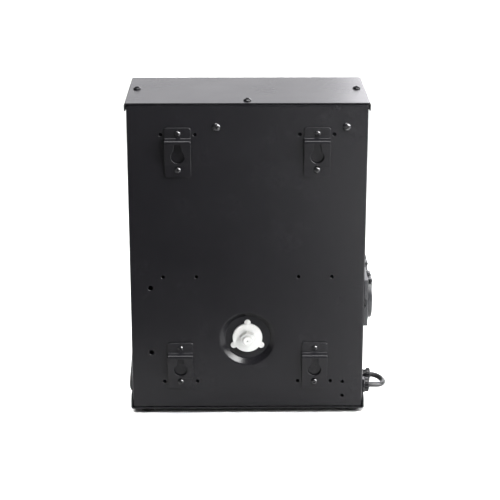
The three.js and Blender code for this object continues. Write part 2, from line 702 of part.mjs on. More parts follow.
// The heat-proof flange: a rounded disc on three ears, with a spigot that reaches the heater.
// Its origin is on the outlet's axis, where the flange seats in the dish.
function outlet() {
  const face = -OUTLET_THICKNESS;
  const reach = BLOCK_BACK - DISH_DEPTH - SEAT;
  const disc = turned("y", [
    [0, face], [OUTLET_RADIUS - 0.9, face], [OUTLET_RADIUS - 0.25, face + 0.3],
    [OUTLET_RADIUS, face + 0.9], [OUTLET_RADIUS, 0], [OUTLET_SPIGOT, 0],
    [OUTLET_SPIGOT, reach], [0, reach],
  ], 28);
  const ears = outletEars().map(([x, up]) => rod("y", OUTLET_EAR_RADIUS,
    -OUTLET_EAR_THICKNESS, 0, [x, up], 12));
  const earHoles = outletEars().map(([x, up]) => rod("y", OUTLET_EAR_HOLE,
    -OUTLET_EAR_THICKNESS - 1, 1, [x, up], 8));
  const hexCorners = [0, 1, 2, 3, 4, 5].map((k) => {
    const angle = THREE.MathUtils.degToRad(90 + HEX_TURN + k * 60);
    return point(HEX_RADIUS * Math.cos(angle), HEX_RADIUS * Math.sin(angle));
  });
  const pocketFloor = face + HEX_DEPTH;
  const pocket = prism("y", new THREE.Shape(hexCorners), face - 1, pocketFloor);
  const bore = rod("y", OUTLET_BORE, pocketFloor - 1, reach + 1, [0, 0], 12);
  const place = [0, DISH_DEPTH - SEAT, aboveFoot(OUTLET_HEIGHT)];
  const clearOfDish = [0, DISH_DEPTH, aboveFoot(OUTLET_HEIGHT)];
  piece("outlet_flange", cut(joined([disc, ...ears]), [pocket, bore, ...earHoles]),
    "outletWhite", place);

  const tip = face - NOZZLE_STANDOUT;
  const base = pocketFloor - SEAT;
  const nozzle = turned("y", [
    [0, tip + 0.5], [NOZZLE_BORE * 3, tip + 0.5], [NOZZLE_BORE * 3 + 0.5, tip],
    [NOZZLE_TIP - 0.7, tip], [NOZZLE_TIP, tip + 0.7], [NOZZLE_BASE, base - 1.2],
    [NOZZLE_BASE, base], [NOZZLE_STEM, base],
    [NOZZLE_STEM, base + NOZZLE_STEM_LENGTH], [0, base + NOZZLE_STEM_LENGTH],
  ], 20);
  const jet = rod("y", NOZZLE_BORE, tip - 1, base + NOZZLE_STEM_LENGTH + 1, [0, 0], 8);
  piece("nozzle", nozzle.subtract(jet), "outletWhite", clearOfDish);
}

function socketPlaces() {
  return [SOCKET_FIRST_DEPTH, SOCKET_FIRST_DEPTH + SOCKET_PITCH];
}

// Sizes of the lid's hinge, from the outside of the wall and the socket's own middle
const frameFace = SEAT + SOCKET_FLANGE_THICKNESS;
const hingeX = frameFace + FIT + KNUCKLE_RADIUS;
const hingePlace = [hingeX, HINGE_HEIGHT];
const lugInner = KNUCKLE_LENGTH / 2 + FIT;
const lugOuter = lugInner + LUG_THICKNESS;

function alongY(shape, from, to) {
  return prism("y", shape, from, to, 6);
}

// Frame, well and contact holes of one socket. Its origin is on the outside of the wall.
function socketFrame() {
  const half = SOCKET_FLANGE / 2;
  const flange = prism("x", roundedRectangle(-half, half, -half, half, SOCKET_CORNER),
    SEAT, frameFace, 4);
  const body = rod("x", SOCKET_BODY_RADIUS, -SOCKET_BODY_DEPTH, SEAT + 1, [0, 0], 24);
  const well = rod("x", WELL_RADIUS, frameFace - WELL_DEPTH, frameFace + 1, [0, 0], 24);
  const contacts = [-1, 1].map((side) => rod("x", CONTACT_RADIUS,
    frameFace - WELL_DEPTH - CONTACT_DEPTH, frameFace, [(side * CONTACT_SPACING) / 2, 0], 8));
  const lugShape = new THREE.Shape();
  lugShape.moveTo(frameFace - 1, HINGE_HEIGHT - KNUCKLE_RADIUS);
  lugShape.lineTo(hingeX, HINGE_HEIGHT - KNUCKLE_RADIUS);
  lugShape.absarc(hingeX, HINGE_HEIGHT, KNUCKLE_RADIUS, -Math.PI / 2, Math.PI / 2);
  lugShape.lineTo(frameFace - 1, HINGE_HEIGHT + KNUCKLE_RADIUS);
  const lugs = [[-lugOuter, -lugInner], [lugInner, lugOuter]].map(([from, to]) =>
    alongY(lugShape, from, to));
  const pinBore = rod("y", PIN_RADIUS + FIT, -lugOuter - 1, lugOuter + 1, hingePlace, 10);
  const latch = box([0, frameFace / 2], [-half - 1, -half + 2], [-LATCH_SLOT / 2, LATCH_SLOT / 2]);
  return cut(joined([flange, body, ...lugs]), [well, ...contacts, pinBore, latch]);
}

// The round lid, cut flat under its hinge, with two knuckles and a finger tab
function socketLid() {
  const inside = frameFace + FIT;
  const outside = inside + LID_THICKNESS;
  const disc = turned("x", [
    [0, inside], [LID_RADIUS - 0.4, inside], [LID_RADIUS, inside + 0.5],
    [LID_RADIUS, outside - 1.2], [LID_RADIUS - 1.4, outside], [0, outside],
  ], 30);
  const overTop = box([inside - 1, outside + 1], [-LID_RADIUS, LID_RADIUS], [LID_FLAT, LID_RADIUS + 1]);
  const bridge = box([inside, outside - 0.6], [-KNUCKLE_LENGTH / 2, KNUCKLE_LENGTH / 2],
    [LID_FLAT - 1, HINGE_HEIGHT]);
  const knuckle = rod("y", KNUCKLE_RADIUS, -KNUCKLE_LENGTH / 2, KNUCKLE_LENGTH / 2, hingePlace, 14);
  const tab = box([inside, inside + 1.6], [-6, 6], [-SOCKET_FLANGE / 2 + 0.3, -LID_RADIUS + 1.5]);
  const [hollowInner, hollowOuter] = LID_HOLLOW_RADII;
  const hollow = turned("x", [
    [hollowInner, inside - 1], [hollowOuter, inside - 1], [hollowOuter, inside + LID_HOLLOW],
    [hollowInner, inside + LID_HOLLOW], [hollowInner, inside - 1],
  ], 20);
  const window = box([inside - 1, outside + 1], [-SPRING_WINDOW / 2, SPRING_WINDOW / 2],
    [LID_FLAT + 0.4, HINGE_HEIGHT + KNUCKLE_RADIUS + 1]);
  const grooveDepth = SPRING_COIL_RADIUS - SPRING_WIRE - FIT;
  const grooves = [-1, 1].map((side) => {
    const y = (side * SPRING_LENGTH) / 2;
    const span = side < 0 ? [inside - 1, hingeX - grooveDepth] : [hingeX + grooveDepth, outside + 1];
    return box(span, [y - 0.9, y + 0.9], [HINGE_HEIGHT - SPRING_LEG - 1, HINGE_HEIGHT]);
  });
  const pinBore = rod("y", PIN_RADIUS + FIT, -KNUCKLE_LENGTH, KNUCKLE_LENGTH, hingePlace, 10);
  return cut(joined([disc.subtract(overTop), bridge, knuckle, tab]),
    [hollow, window, ...grooves, pinBore]);
}

// A wound wire: one leg up inside the lid, the turns round the pin, the other leg down
// outside the lid
class SpringLine extends THREE.Curve {
  getPoint(share) {
    const legShare = 0.14;
    const start = -SPRING_LENGTH / 2;
    if (share < legShare) {
      return new THREE.Vector3(-SPRING_COIL_RADIUS, start, -SPRING_LEG * (1 - share / legShare));
    }
    const along = Math.min((share - legShare) / (1 - 2 * legShare), 1);
    const angle = Math.PI - along * Math.PI * 2 * SPRING_TURNS;
    const down = Math.max(share - 1 + legShare, 0) / legShare;
    return new THREE.Vector3(SPRING_COIL_RADIUS * Math.cos(angle), start + along * SPRING_LENGTH,
      SPRING_COIL_RADIUS * Math.sin(angle) - SPRING_LEG * down);
  }
}

// The least gap between two places of one wire that are more than a turn's third apart
function leastGap(curve, radius, apart) {
  const places = curve.getSpacedPoints(400);
  const step = curve.getLength() / 400;
  let least = Infinity;
  places.forEach((first, i) => {
    places.slice(i + Math.ceil(apart / step)).forEach((second) => {
      least = Math.min(least, first.distanceTo(second) - 2 * radius);
    });
  });
  return least;
}

function wire(curve, radius, steps, sides) {
  const section = new THREE.Shape();
  for (let k = 0; k < sides; k += 1) {
    const angle = (k / sides) * Math.PI * 2;
    const place = [radius * Math.cos(angle), radius * Math.sin(angle)];
    if (k === 0) section.moveTo(...place);
    else section.lineTo(...place);
  }
  return solid(new THREE.ExtrudeGeometry(section, { steps, extrudePath: curve }));
}

function sockets() {
  const frame = socketFrame();
  const lid = socketLid();
  const pin = rod("y", PIN_RADIUS, -lugOuter, lugOuter, hingePlace, 10);
  const springLine = new SpringLine();
  const spring = wire(springLine, SPRING_WIRE, 49, 5);
  const springGap = leastGap(springLine, SPRING_WIRE, SPRING_COIL_RADIUS * 2);
  console.log(`least gap between the turns of a lid spring: ${springGap.toFixed(2)} mm`);
  ["near", "far"].forEach((name, i) => {
    const place = [WALL, socketPlaces()[i], aboveFoot(SOCKET_HEIGHT)];
    const [x, y, z] = place;
    piece(`socket_frame_${name}`, frame, "socketGrey", place);
    piece(`socket_lid_${name}`, lid, "socketGrey", place);
    piece(`lid_pin_${name}`, pin, "steel", place);
    piece(`lid_spring_${name}`, spring, "steel", [x + hingeX, y, z + HINGE_HEIGHT]);
  });
}

function glandPlaces() {
  return [GLAND_FIRST_DEPTH, GLAND_FIRST_DEPTH + GLAND_PITCH];
}

const hexOutline = (acrossFlats) => new THREE.Shape([0, 1, 2, 3, 4, 5].map((k) => {
  const angle = (Math.PI / 3) * k;
  const corner = acrossFlats / Math.cos(Math.PI / 6);
  return point(corner * Math.cos(angle), corner * Math.sin(angle));
}));

// Where the nut starts, from the outside of the wall
const nutStart = (backedOff) => SEAT + GLAND_HEX_THICKNESS + SEAT + backedOff;

function glands() {
  const hole = LEAD_RADIUS + FIT;
  const capWall = 1.4;
  glandPlaces().forEach((y, i) => {
    const name = ["near", "far"][i];
    const start = nutStart(NUT_BACKED_OFF[i]);
    const end = start + NUT_LENGTH;
    const threadEnd = end - capWall - FIT;
    const hex = prism("x", hexOutline(GLAND_HEX), SEAT, SEAT + GLAND_HEX_THICKNESS);
    const thread = rod("x", GLAND_THREAD, -GLAND_TAIL, threadEnd, [0, 0], 12);
    const bore = rod("x", hole, -GLAND_TAIL - 1, threadEnd + 1, [0, 0], 12);
    const place = [WALL, y, aboveFoot(GLAND_HEIGHT)];
    piece(`gland_body_${name}`, hex.add(thread).subtract(bore), "rubber", place);

    const domed = turned("x", [
      [0, start], [NUT_RADIUS, start], [NUT_RADIUS, end - 1.3], [NUT_RADIUS - 1.5, end], [0, end],
    ], 20);
    const flutes = Array.from({ length: NUT_RIBS }, (_, k) => {
      const angle = (k / NUT_RIBS) * Math.PI * 2;
      const reach = NUT_RADIUS + 0.75;
      return rod("x", 1.35, start - 1, end + 1,
        [reach * Math.cos(angle), reach * Math.sin(angle)], 5);
    });
    const counterbore = rod("x", GLAND_THREAD + FIT, start - 1, end - capWall, [0, 0], 12);
    const mouth = rod("x", hole, start, end + 1, [0, 0], 12);
    piece(`gland_nut_${name}`, cut(domed, [...flutes, counterbore, mouth]), "rubber", place);
  });
}

// The free loop of the lead, from the far nut round to the near nut
const LOOP_POINTS = [
  [2.3, 39.7, 26.0], [7.6, 39.7, 26.0], [11.6, 39.7, 26.0], [15.2, 39.1, 25.7],
  [18.4, 37.4, 25.2], [21.1, 34.7, 24.6], [22.9, 31.4, 24.0], [23.9, 27.6, 23.7],
  [23.7, 23.8, 23.7], [22.4, 20.1, 23.9], [20.0, 16.6, 24.4], [16.6, 13.9, 25.1],
  [12.6, 12.4, 25.7], [8.2, 12.0, 26.0], [2.3, 12.0, 26.0],
];

function smoothCurve(points) {
  return new THREE.CatmullRomCurve3(points.map((place) => new THREE.Vector3(...place)), false, "centripetal");
}

// The lead's two ends inside the case, from the glands up to the terminal block
const TAIL_POINTS = {
  far: [
    [2.0, 39.7, 26.0], [-11, 39.7, 26.0], [-18, 38.5, 27.0], [-24, 34, 31], [-27, 26, 37],
    [-27.4, 17, 43], [-27, 10.5, 49], [-27, 8.3, 57], [-27, 8.3, 66], [-27, 8.3, 75.6],
  ],
  near: [
    [2.0, 12.0, 26.0], [-11, 12.0, 26.0], [-16, 11.8, 27.5], [-19.2, 10.8, 33],
    [-20.3, 9.4, 41], [-20.4, 8.5, 49], [-20.4, 8.3, 57.6], [-20.4, 8.3, 66],
    [-20.4, 8.3, 75.6],
  ],
};

function lead() {
  const outside = (places) => places.map(([x, y, z]) => [WALL + x, y, z]);
  piece("link_lead", wire(smoothCurve(outside(LOOP_POINTS)), LEAD_RADIUS, 24, 10), "rubber");
  Object.entries(TAIL_POINTS).forEach(([name, places]) => {
    piece(`lead_tail_${name}`, wire(smoothCurve(outside(places)), LEAD_RADIUS, 14, 8), "rubber");
  });
}

// Half a leaning cone against the left wall: the outside of the hood's pressing, grown by
// `grow` and with its mouth lowered by `lower`
function hoodCone(grow, lower = 0) {
  const mouth = aboveFoot(HOOD_MOUTH);
  const top = aboveFoot(HOOD_TOP);
  const cone = new THREE.CylinderGeometry(HOOD_TOP_SHARE, 1, 1, 24);
  cone.translate(0, 0.5, 0);
  cone.rotateX(Math.PI / 2);
  cone.scale(HOOD_STANDOUT + grow, HOOD_HALF_WIDTH + grow, top - mouth + grow);
  cone.translate(-WALL, HOOD_DEPTH_MIDDLE, mouth);
  const whole = solid(cone);
  if (lower === 0) return whole;
  const foot = cone.clone();
  foot.translate(0, 0, -lower);
  return whole.add(solid(foot));
}

function airHood() {
  const mouth = aboveFoot(HOOD_MOUTH);
  const flangeOutside = -INNER_WALL + SEAT;
  const flangeInside = flangeOutside + 1;
  const away = box([flangeInside, 0], [-CASE_DEPTH, CASE_DEPTH], [0, CASE_HEIGHT]);
  const outer = hoodCone(0).subtract(away);
  const inner = hoodCone(-HOOD_SHEET, 3);
  const reach = HOOD_HALF_WIDTH + HOOD_FLANGE;
  const plate = prism("x", roundedRectangle(HOOD_DEPTH_MIDDLE - reach, HOOD_DEPTH_MIDDLE + reach,
    mouth, aboveFoot(HOOD_TOP) + HOOD_FLANGE, 4), flangeOutside, flangeInside, 3);
  piece("air_hood", plate.add(outer).subtract(inner), "caseBlack");
}

// The heater: an aluminium block in two halves of insulation, on a sheet cradle
const blockX = [-BLOCK_WIDTH / 2, BLOCK_WIDTH / 2];
const blockY = [BLOCK_BACK, BLOCK_BACK + BLOCK_DEPTH];
const blockFoot = aboveFoot(BLOCK_FOOT);
const blockTop = blockFoot + BLOCK_HEIGHT;
const nippleY = BLOCK_BACK + NIPPLE_DEPTH;
const nippleTop = blockTop + INSULATION + NIPPLE_REACH;
const grown = ([low, high], by) => [low - by, high + by];

function heater() {
  const outletZ = aboveFoot(OUTLET_HEIGHT);
  const bore = CARTRIDGE_RADIUS + FIT;
  const cartridge = [CARTRIDGE_PLACE[0], BLOCK_BACK + CARTRIDGE_PLACE[1]];
  const cutout = [CUTOUT_PLACE[0], BLOCK_BACK + CUTOUT_PLACE[1]];
  const block = joined([
    box(blockX, blockY, [blockFoot, blockTop]),
    rod("z", NIPPLE_RADIUS, blockTop - 1, nippleTop, [0, nippleY], 16),
  ]);
  const stemRoom = rod("y", NOZZLE_STEM + FIT, BLOCK_BACK - 1, BLOCK_BACK + 1, [0, outletZ], 16);
  piece("heater_block", cut(block, [
    rod("z", PASSAGE, outletZ - PASSAGE, nippleTop + 1, [0, nippleY], 10),
    rod("y", PASSAGE, BLOCK_BACK - 1, nippleY, [0, outletZ], 10),
    rod("z", bore, blockTop - CARTRIDGE_LENGTH, blockTop + 1, cartridge, 16),
    stemRoom,
  ]), "aluminium");

  const stemTop = blockTop + INSULATION + 8;
  const cartridgeSolid = joined([
    rod("z", CARTRIDGE_RADIUS, blockTop - CARTRIDGE_LENGTH + FIT, blockTop + INSULATION, cartridge, 16),
    rod("z", CARTRIDGE_RADIUS - 1.5, blockTop + INSULATION - 1, stemTop, cartridge, 12),
  ]);
  piece("heating_cartridge", cartridgeSolid, "steel");

  const cutoutSolid = joined([
    rod("z", CUTOUT_RADIUS, blockTop + SEAT, blockTop + CUTOUT_HEIGHT * 0.6, cutout, 18),
    rod("z", CUTOUT_RADIUS - 1.6, blockTop + 1, blockTop + CUTOUT_HEIGHT, cutout, 18),
    ...[-3, 3].map((x) => box([cutout[0] + x - 0.4, cutout[0] + x + 0.4],
      [cutout[1] - 2.5, cutout[1] + 2.5],
      [blockTop + CUTOUT_HEIGHT - 1, blockTop + CUTOUT_HEIGHT + 7])),
  ]);
  piece("thermal_cutout", cutoutSolid, "steel");

  const jacketX = grown(blockX, FIT + INSULATION);
  const jacketY = grown(blockY, FIT + INSULATION);
  const jacketZ = grown([blockFoot, blockTop], FIT + INSULATION);
  const room = joined([
    box(grown(blockX, FIT), grown(blockY, FIT), grown([blockFoot, blockTop], FIT)),
    rod("y", OUTLET_SPIGOT + FIT, jacketY[0] - 1, BLOCK_BACK, [0, outletZ], 24),
    rod("z", NIPPLE_RADIUS + FIT, blockTop, jacketZ[1] + 1, [0, nippleY], 16),
    rod("z", bore, blockTop, jacketZ[1] + 1, cartridge, 16),
    rod("z", CUTOUT_RADIUS + FIT, blockTop, jacketZ[1] + 1, cutout, 18),
  ]);
  const halves = { left: [jacketX[0], -SEAT], right: [SEAT, jacketX[1]] };
  Object.entries(halves).forEach(([name, span]) => {
    piece(`insulation_${name}`, box(span, jacketY, jacketZ).subtract(room), "wool");
  });

  const seat = jacketZ[0] - SEAT - CRADLE_SHEET / 2;
  const side = jacketX[1] + SEAT + CRADLE_SHEET / 2;
  const base = TRAY_FLOOR + SEAT + CRADLE_SHEET / 2;
  const cup = prism("y", bentSheet([
    point(-side, seat + CRADLE_SIDE), point(-side, seat), point(side, seat),
    point(side, seat + CRADLE_SIDE),
  ], CRADLE_SHEET, BEND_RADIUS), ...grown(jacketY, -8));
  const legs = jacketY.map((y, i) => {
    const inward = i === 0 ? 8 : -8;
    const line = [
      point(y + inward, seat), point(y + inward, base), point(y + inward * 2.6, base),
    ];
    return prism("x", bentSheet(line, CRADLE_SHEET, BEND_RADIUS), -side + 6, side - 6);
  });
  const leg = legs.map((strip) => cut(strip, [
    rod("y", 11, jacketY[0], jacketY[1], [0, base + (seat - base) / 2], 12),
  ]));
  piece("heater_cradle", joined([cup, ...leg]), "zinc");
}

// Shelf, tank, cap, pump and tubes
const shelfBase = aboveFoot(SHELF_HEIGHT);
const shelfTop = shelfBase + SHEET;
const tankFoot = shelfTop + SEAT;
const tankTop = tankFoot + TANK_HEIGHT;
const spoutHeight = tankFoot + 12;
const pumpHeight = tankFoot + PUMP_COIL / 2;
const pumpFront = PUMP_BACK + PUMP_LENGTH;
const DELIVERY_SWEEP_Y = 9.5;

function tankCradle() {
  const backFace = SHEET + SEAT + SHEET / 2;
  const floor = shelfBase + SHEET / 2;
  const line = [
    point(backFace, tankTop + 4), point(backFace, floor), point(SHELF_DEPTH, floor),
    point(SHELF_DEPTH, shelfTop + SHELF_LIP),
  ];
  const strip = prism("x", bentSheet(line, SHEET, BEND_RADIUS), SHELF_LEFT, SHELF_RIGHT);
  const screws = PANEL_SCREWS.map((x) => rod("y", screwHole(M4), SHEET, SHEET * 3,
    [x, aboveFoot(PANEL_SCREW_HEIGHT)], 8));
  const upperHangerScrews = hangerPlaces().filter(({ name }) => name.startsWith("upper"));
  const screwTips = upperHangerScrews.flatMap(({ x, height }) => [height, height - HANGER_SCREW_PITCH]
    .map((up) => rod("y", screwHole(M3) + 1, SHEET, SHEET * 3, [x, aboveFoot(up)], 6)));
  const pass = rod("z", TUBE_RADIUS + 1, shelfBase - 1, shelfTop + 1, [PUMP_X, DELIVERY_SWEEP_Y], 8);
  piece("tank_cradle", cut(strip, [...screws, ...screwTips, pass]), "zinc");
  PANEL_SCREWS.forEach((x, i) => {
    piece(`panel_screw_${i + 1}`, screwAcross(M4, -1), "screwBlack",
      [x, -SEAT, aboveFoot(PANEL_SCREW_HEIGHT)]);
  });
}

function tankAndCap() {
  const outline = (by) => roundedRectangle(TANK_LEFT + by, TANK_RIGHT - by,
    TANK_BACK + by, TANK_FRONT - by, TANK_CORNER - by);
  const neckTop = tankTop + NECK_RISE;
  const inner = NECK_RADIUS - TANK_WALL;
  const tank = cut(joined([
    prism("z", outline(0), tankFoot, tankTop, 3),
    rod("z", NECK_RADIUS, tankTop - 1, neckTop, NECK_PLACE, 20),
    rod("x", SPOUT_RADIUS, TANK_LEFT - SPOUT_REACH, TANK_LEFT + 1, [SPOUT_DEPTH, spoutHeight], 14),
  ]), [
    prism("z", outline(TANK_WALL), tankFoot + TANK_WALL, tankTop - TANK_WALL, 3),
    rod("z", inner, tankTop - TANK_WALL - 1, neckTop + 1, NECK_PLACE, 20),
    rod("x", PASSAGE, TANK_LEFT - SPOUT_REACH - 1, TANK_LEFT + TANK_WALL + 1,
      [SPOUT_DEPTH, spoutHeight], 10),
  ]);
  piece("fluid_tank", tank, "tank");

  const capInner = NECK_RADIUS + FIT;
  const skirt = tankTop + SEAT * 5;
  const roof = neckTop + SEAT;
  const cap = turned("z", [
    [capInner, skirt], [capInner + CAP_WALL, skirt], [capInner + CAP_WALL, roof + CAP_WALL],
    [capInner + CAP_WALL - 1, roof + CAP_RISE], [1, roof + CAP_RISE], [1, roof],
    [capInner, roof], [capInner, skirt],
  ], 20);
  piece("tank_cap", cap.translate([NECK_PLACE[0], NECK_PLACE[1], 0]), "cap");
}

function pumpAndTubes() {
  const at = [PUMP_X, pumpHeight];
  const coilHalf = PUMP_COIL / 2;
  const coilBack = PUMP_BACK + (PUMP_LENGTH - PUMP_COIL_LENGTH) / 2;
  const coil = prism("y", roundedRectangle(PUMP_X - coilHalf, PUMP_X + coilHalf,
    tankFoot, tankFoot + PUMP_COIL, 3), coilBack, coilBack + PUMP_COIL_LENGTH, 2);
  const body = rod("y", PUMP_BODY_RADIUS, PUMP_BACK, pumpFront, at, 16);
  const nipples = rod("y", PUMP_NIPPLE, PUMP_BACK - PUMP_NIPPLE_REACH,
    pumpFront + PUMP_NIPPLE_REACH, at, 12);
  piece("pump", joined([coil, body, nipples]), "brass");

  const inletY = pumpFront + PUMP_NIPPLE_REACH + SEAT;
  const outletY = PUMP_BACK - PUMP_NIPPLE_REACH - SEAT;
  const spoutX = TANK_LEFT - SPOUT_REACH - SEAT;
  const bend = TUBE_BEND;
  const suction = smoothCurve([
    [spoutX, SPOUT_DEPTH, spoutHeight], [spoutX - bend / 2, SPOUT_DEPTH + bend / 24, spoutHeight],
    [spoutX - bend * 1.2, SPOUT_DEPTH + bend / 2, spoutHeight + bend / 12],
    [spoutX - bend * 2, inletY + bend * 0.65, spoutHeight + bend / 4],
    [PUMP_X + bend * 0.65, inletY + bend * 0.95, pumpHeight - bend / 12],
    [PUMP_X + bend / 8, inletY + bend * 0.75, pumpHeight],
    [PUMP_X, inletY + bend / 4, pumpHeight], [PUMP_X, inletY, pumpHeight],
  ]);
  piece("suction_tube", wire(suction, TUBE_RADIUS, 14, 8), "tube");

  const fall = pumpHeight - shelfBase;
  const delivery = smoothCurve([
    [PUMP_X, outletY, pumpHeight], [PUMP_X, outletY - bend / 3, pumpHeight],
    [PUMP_X, DELIVERY_SWEEP_Y + bend / 6, pumpHeight - bend * 0.3],
    [PUMP_X, DELIVERY_SWEEP_Y, shelfBase + fall * 0.4],
    [PUMP_X, DELIVERY_SWEEP_Y, shelfBase - bend / 3],
    [PUMP_X + bend / 2, DELIVERY_SWEEP_Y + bend / 4, shelfBase - bend],
    [PUMP_X + bend * 2, DELIVERY_SWEEP_Y + bend * 1.2, shelfBase - bend * 0.92],
    [PUMP_X + bend * 4.2, nippleY - bend * 0.85, shelfBase - bend * 0.67],
    [-bend, nippleY - bend / 4, shelfBase - bend * 0.6],
    [-bend / 6, nippleY, shelfBase - bend * 0.85], [0, nippleY, nippleTop + bend / 3],
    [0, nippleY, nippleTop + SEAT],
  ]);
  piece("delivery_tube", wire(delivery, TUBE_RADIUS, 22, 8), "tube");
}

function boardCorners() {
  return BOARD_DEPTHS.flatMap((y, i) => BOARD_HEIGHTS.map((height, k) => [
    y + (i === 0 ? STANDOFF_INSET : -STANDOFF_INSET),
    aboveFoot(height) + (k === 0 ? STANDOFF_INSET : -STANDOFF_INSET),
  ]));
}

function electricalParts() {
  const boardX = -INNER_WALL + BOARD_STANDOFF + SEAT;
  piece("circuit_board", box([boardX, boardX + BOARD_THICKNESS], BOARD_DEPTHS,
    BOARD_HEIGHTS.map(aboveFoot)), "board");

  const [width, depth, height] = TRANSFORMER_CORE;
  const [x, y] = TRANSFORMER_PLACE;
  const foot = PANEL_FOOT + SHEET + SEAT;
  const coreFoot = foot + TRANSFORMER_FOOT;
  const limb = width / 6;
  const core = cut(box([x, x + width], [y, y + depth], [coreFoot, coreFoot + height]), [
    box([x + limb, x + 2 * limb], [y - 1, y + depth + 1], [coreFoot + limb, coreFoot + height - limb]),
    box([x + 4 * limb, x + 5 * limb], [y - 1, y + depth + 1],
      [coreFoot + limb, coreFoot + height - limb]),
  ]);
  const winding = prism("z", roundedRectangle(x + limb + 0.5, x + 5 * limb - 0.5,
    y - TRANSFORMER_COIL, y + depth + TRANSFORMER_COIL, 5), coreFoot + limb + 0.5,
  coreFoot + height - limb - 0.5, 4);
  const plate = box([x - 8, x + width + 8], [y + depth / 2 - 10, y + depth / 2 + 10],
    [foot, coreFoot + 0.5]);
  piece("transformer", joined([core, winding, plate]), "core");

  const blockLength = TERMINALS * TERMINAL_PITCH;
  const left = TERMINAL_RIGHT - blockLength;
  const y0 = SHEET + SEAT;
  const z0 = TERMINAL_FOOT + PANEL_FOOT;
  const body = box([left, TERMINAL_RIGHT], [y0, y0 + TERMINAL_DEPTH], [z0, z0 + TERMINAL_HEIGHT]);
  const cells = Array.from({ length: TERMINALS }, (_, k) => {
    const middle = left + (k + 0.5) * TERMINAL_PITCH;
    return [
      rod("y", 2.2, y0 + TERMINAL_DEPTH - 5, y0 + TERMINAL_DEPTH + 1, [middle, z0 + TERMINAL_HEIGHT / 2], 8),
      box([middle - TERMINAL_PITCH / 2 - 0.4, middle - TERMINAL_PITCH / 2 + 0.4],
        [y0 + TERMINAL_DEPTH - 3, y0 + TERMINAL_DEPTH + 1], [z0 - 1, z0 + TERMINAL_HEIGHT + 1]),
    ];
  }).flat();
  piece("terminal_block", cut(body, cells), "terminal");
}

caseShell();
topCover();
bottomTray();
frontCover();
feet();
hangers();
outlet();
sockets();
glands();
lead();
airHood();
heater();
tankCradle();
tankAndCap();
pumpAndTubes();
electricalParts();

// The origin goes under the middle of the machine without its free lead
const rightmost = WALL + nutStart(NUT_BACKED_OFF[1]) + NUT_LENGTH;
const leftmost = -WALL - HOOD_STANDOUT;
const frontmost = CASE_DEPTH + SEAT + M4.rise;
const rearmost = -SEAT - HANGER_STANDOFF - HANGER_SHEET;
machine.position.set(-(leftmost + rightmost) / 2, -(rearmost + frontmost) / 2, 0);

export default machine;
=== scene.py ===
# %% [markdown]
# # A wall-hung fog machine
#
# The machine is a tall steel case. The face toward the camera goes against a wall or a
# partition: it carries four keyhole hangers and the white fog outlet in its pressed dish.
# The right side holds two sockets with sprung lids and two cable glands with a lead between.
#
# The solids of the machine are already built and packed. This file loads them as a fixed
# frame, then makes a finer piece for each solid that can be seen and a finish for every part.

# %% Load the packed solids
import math

import bmesh
import bpy
from mathutils import Matrix, Quaternion, Vector


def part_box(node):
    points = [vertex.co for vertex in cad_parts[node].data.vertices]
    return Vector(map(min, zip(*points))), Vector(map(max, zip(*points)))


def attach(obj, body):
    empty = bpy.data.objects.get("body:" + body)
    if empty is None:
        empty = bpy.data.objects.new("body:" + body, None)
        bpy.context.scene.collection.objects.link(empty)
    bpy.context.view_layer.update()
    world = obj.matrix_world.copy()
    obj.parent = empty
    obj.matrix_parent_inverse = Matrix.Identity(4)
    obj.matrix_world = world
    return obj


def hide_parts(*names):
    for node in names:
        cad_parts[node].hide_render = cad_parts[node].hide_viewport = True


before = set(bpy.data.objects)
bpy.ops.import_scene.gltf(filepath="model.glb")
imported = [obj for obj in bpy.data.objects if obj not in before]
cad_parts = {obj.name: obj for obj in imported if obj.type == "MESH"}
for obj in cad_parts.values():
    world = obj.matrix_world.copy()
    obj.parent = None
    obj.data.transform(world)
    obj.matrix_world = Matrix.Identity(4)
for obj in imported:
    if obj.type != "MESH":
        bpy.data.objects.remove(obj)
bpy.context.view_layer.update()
SCENE = bpy.context.scene

# %% [markdown]
# ## One set of measures
#
# A sheet-metal drawing is dimensioned in millimetres from the middle of the case, the face
# of the outlet panel and the ground. Blender works in metres from the middle of the whole
# machine. So the pieces are drawn in case millimetres, and one matrix carries each finished
# mesh to its place.

# %% Measures that the solids give
shell_low, shell_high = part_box("case_shell")
cover_low, cover_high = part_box("top_cover")
CASE_MIDDLE = (shell_low.x + shell_high.x) / 2
TO_ROW = Matrix.Translation((CASE_MIDDLE, shell_low.y, 0)) @ Matrix.Scale(0.001, 4)

WALL = (shell_high.x - shell_low.x) * 500
DEPTH = (cover_high.y - cover_low.y) * 1000
PANEL_FOOT = shell_low.z * 1000
SHELL_TOP = shell_high.z * 1000
CASE_TOP = cover_high.z * 1000
SHEET = 1.5
BEND = 2.0
LIP = (cover_high.x - cover_low.x) * 500
OUTLET_Z = PANEL_FOOT + 76.5


def to_row(x, y, z):
    """The place in metres of a point given in case millimetres."""
    return TO_ROW @ Vector((x, y, z))


def middle_of(node_name):
    """The middle of one solid in case millimetres."""
    low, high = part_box(node_name)
    return TO_ROW.inverted() @ ((low + high) / 2)


print(f"case {WALL * 2:.1f} wide, {DEPTH:.1f} deep, panel from {PANEL_FOOT:.1f} to {SHELL_TOP:.1f}")

# %% [markdown]
# ## The camera
#
# The photograph was taken from slightly above with a long lens, so the upright edges stay
# almost parallel. The edges of the case gave the lens and the place of the camera. It looks
# 17.7 degrees down and a little to the right.

# %% Camera
def new_object(name, data):
    """An object made from its data and put in the scene."""
    thing = bpy.data.objects.new(name, data)
    SCENE.collection.objects.link(thing)
    return thing


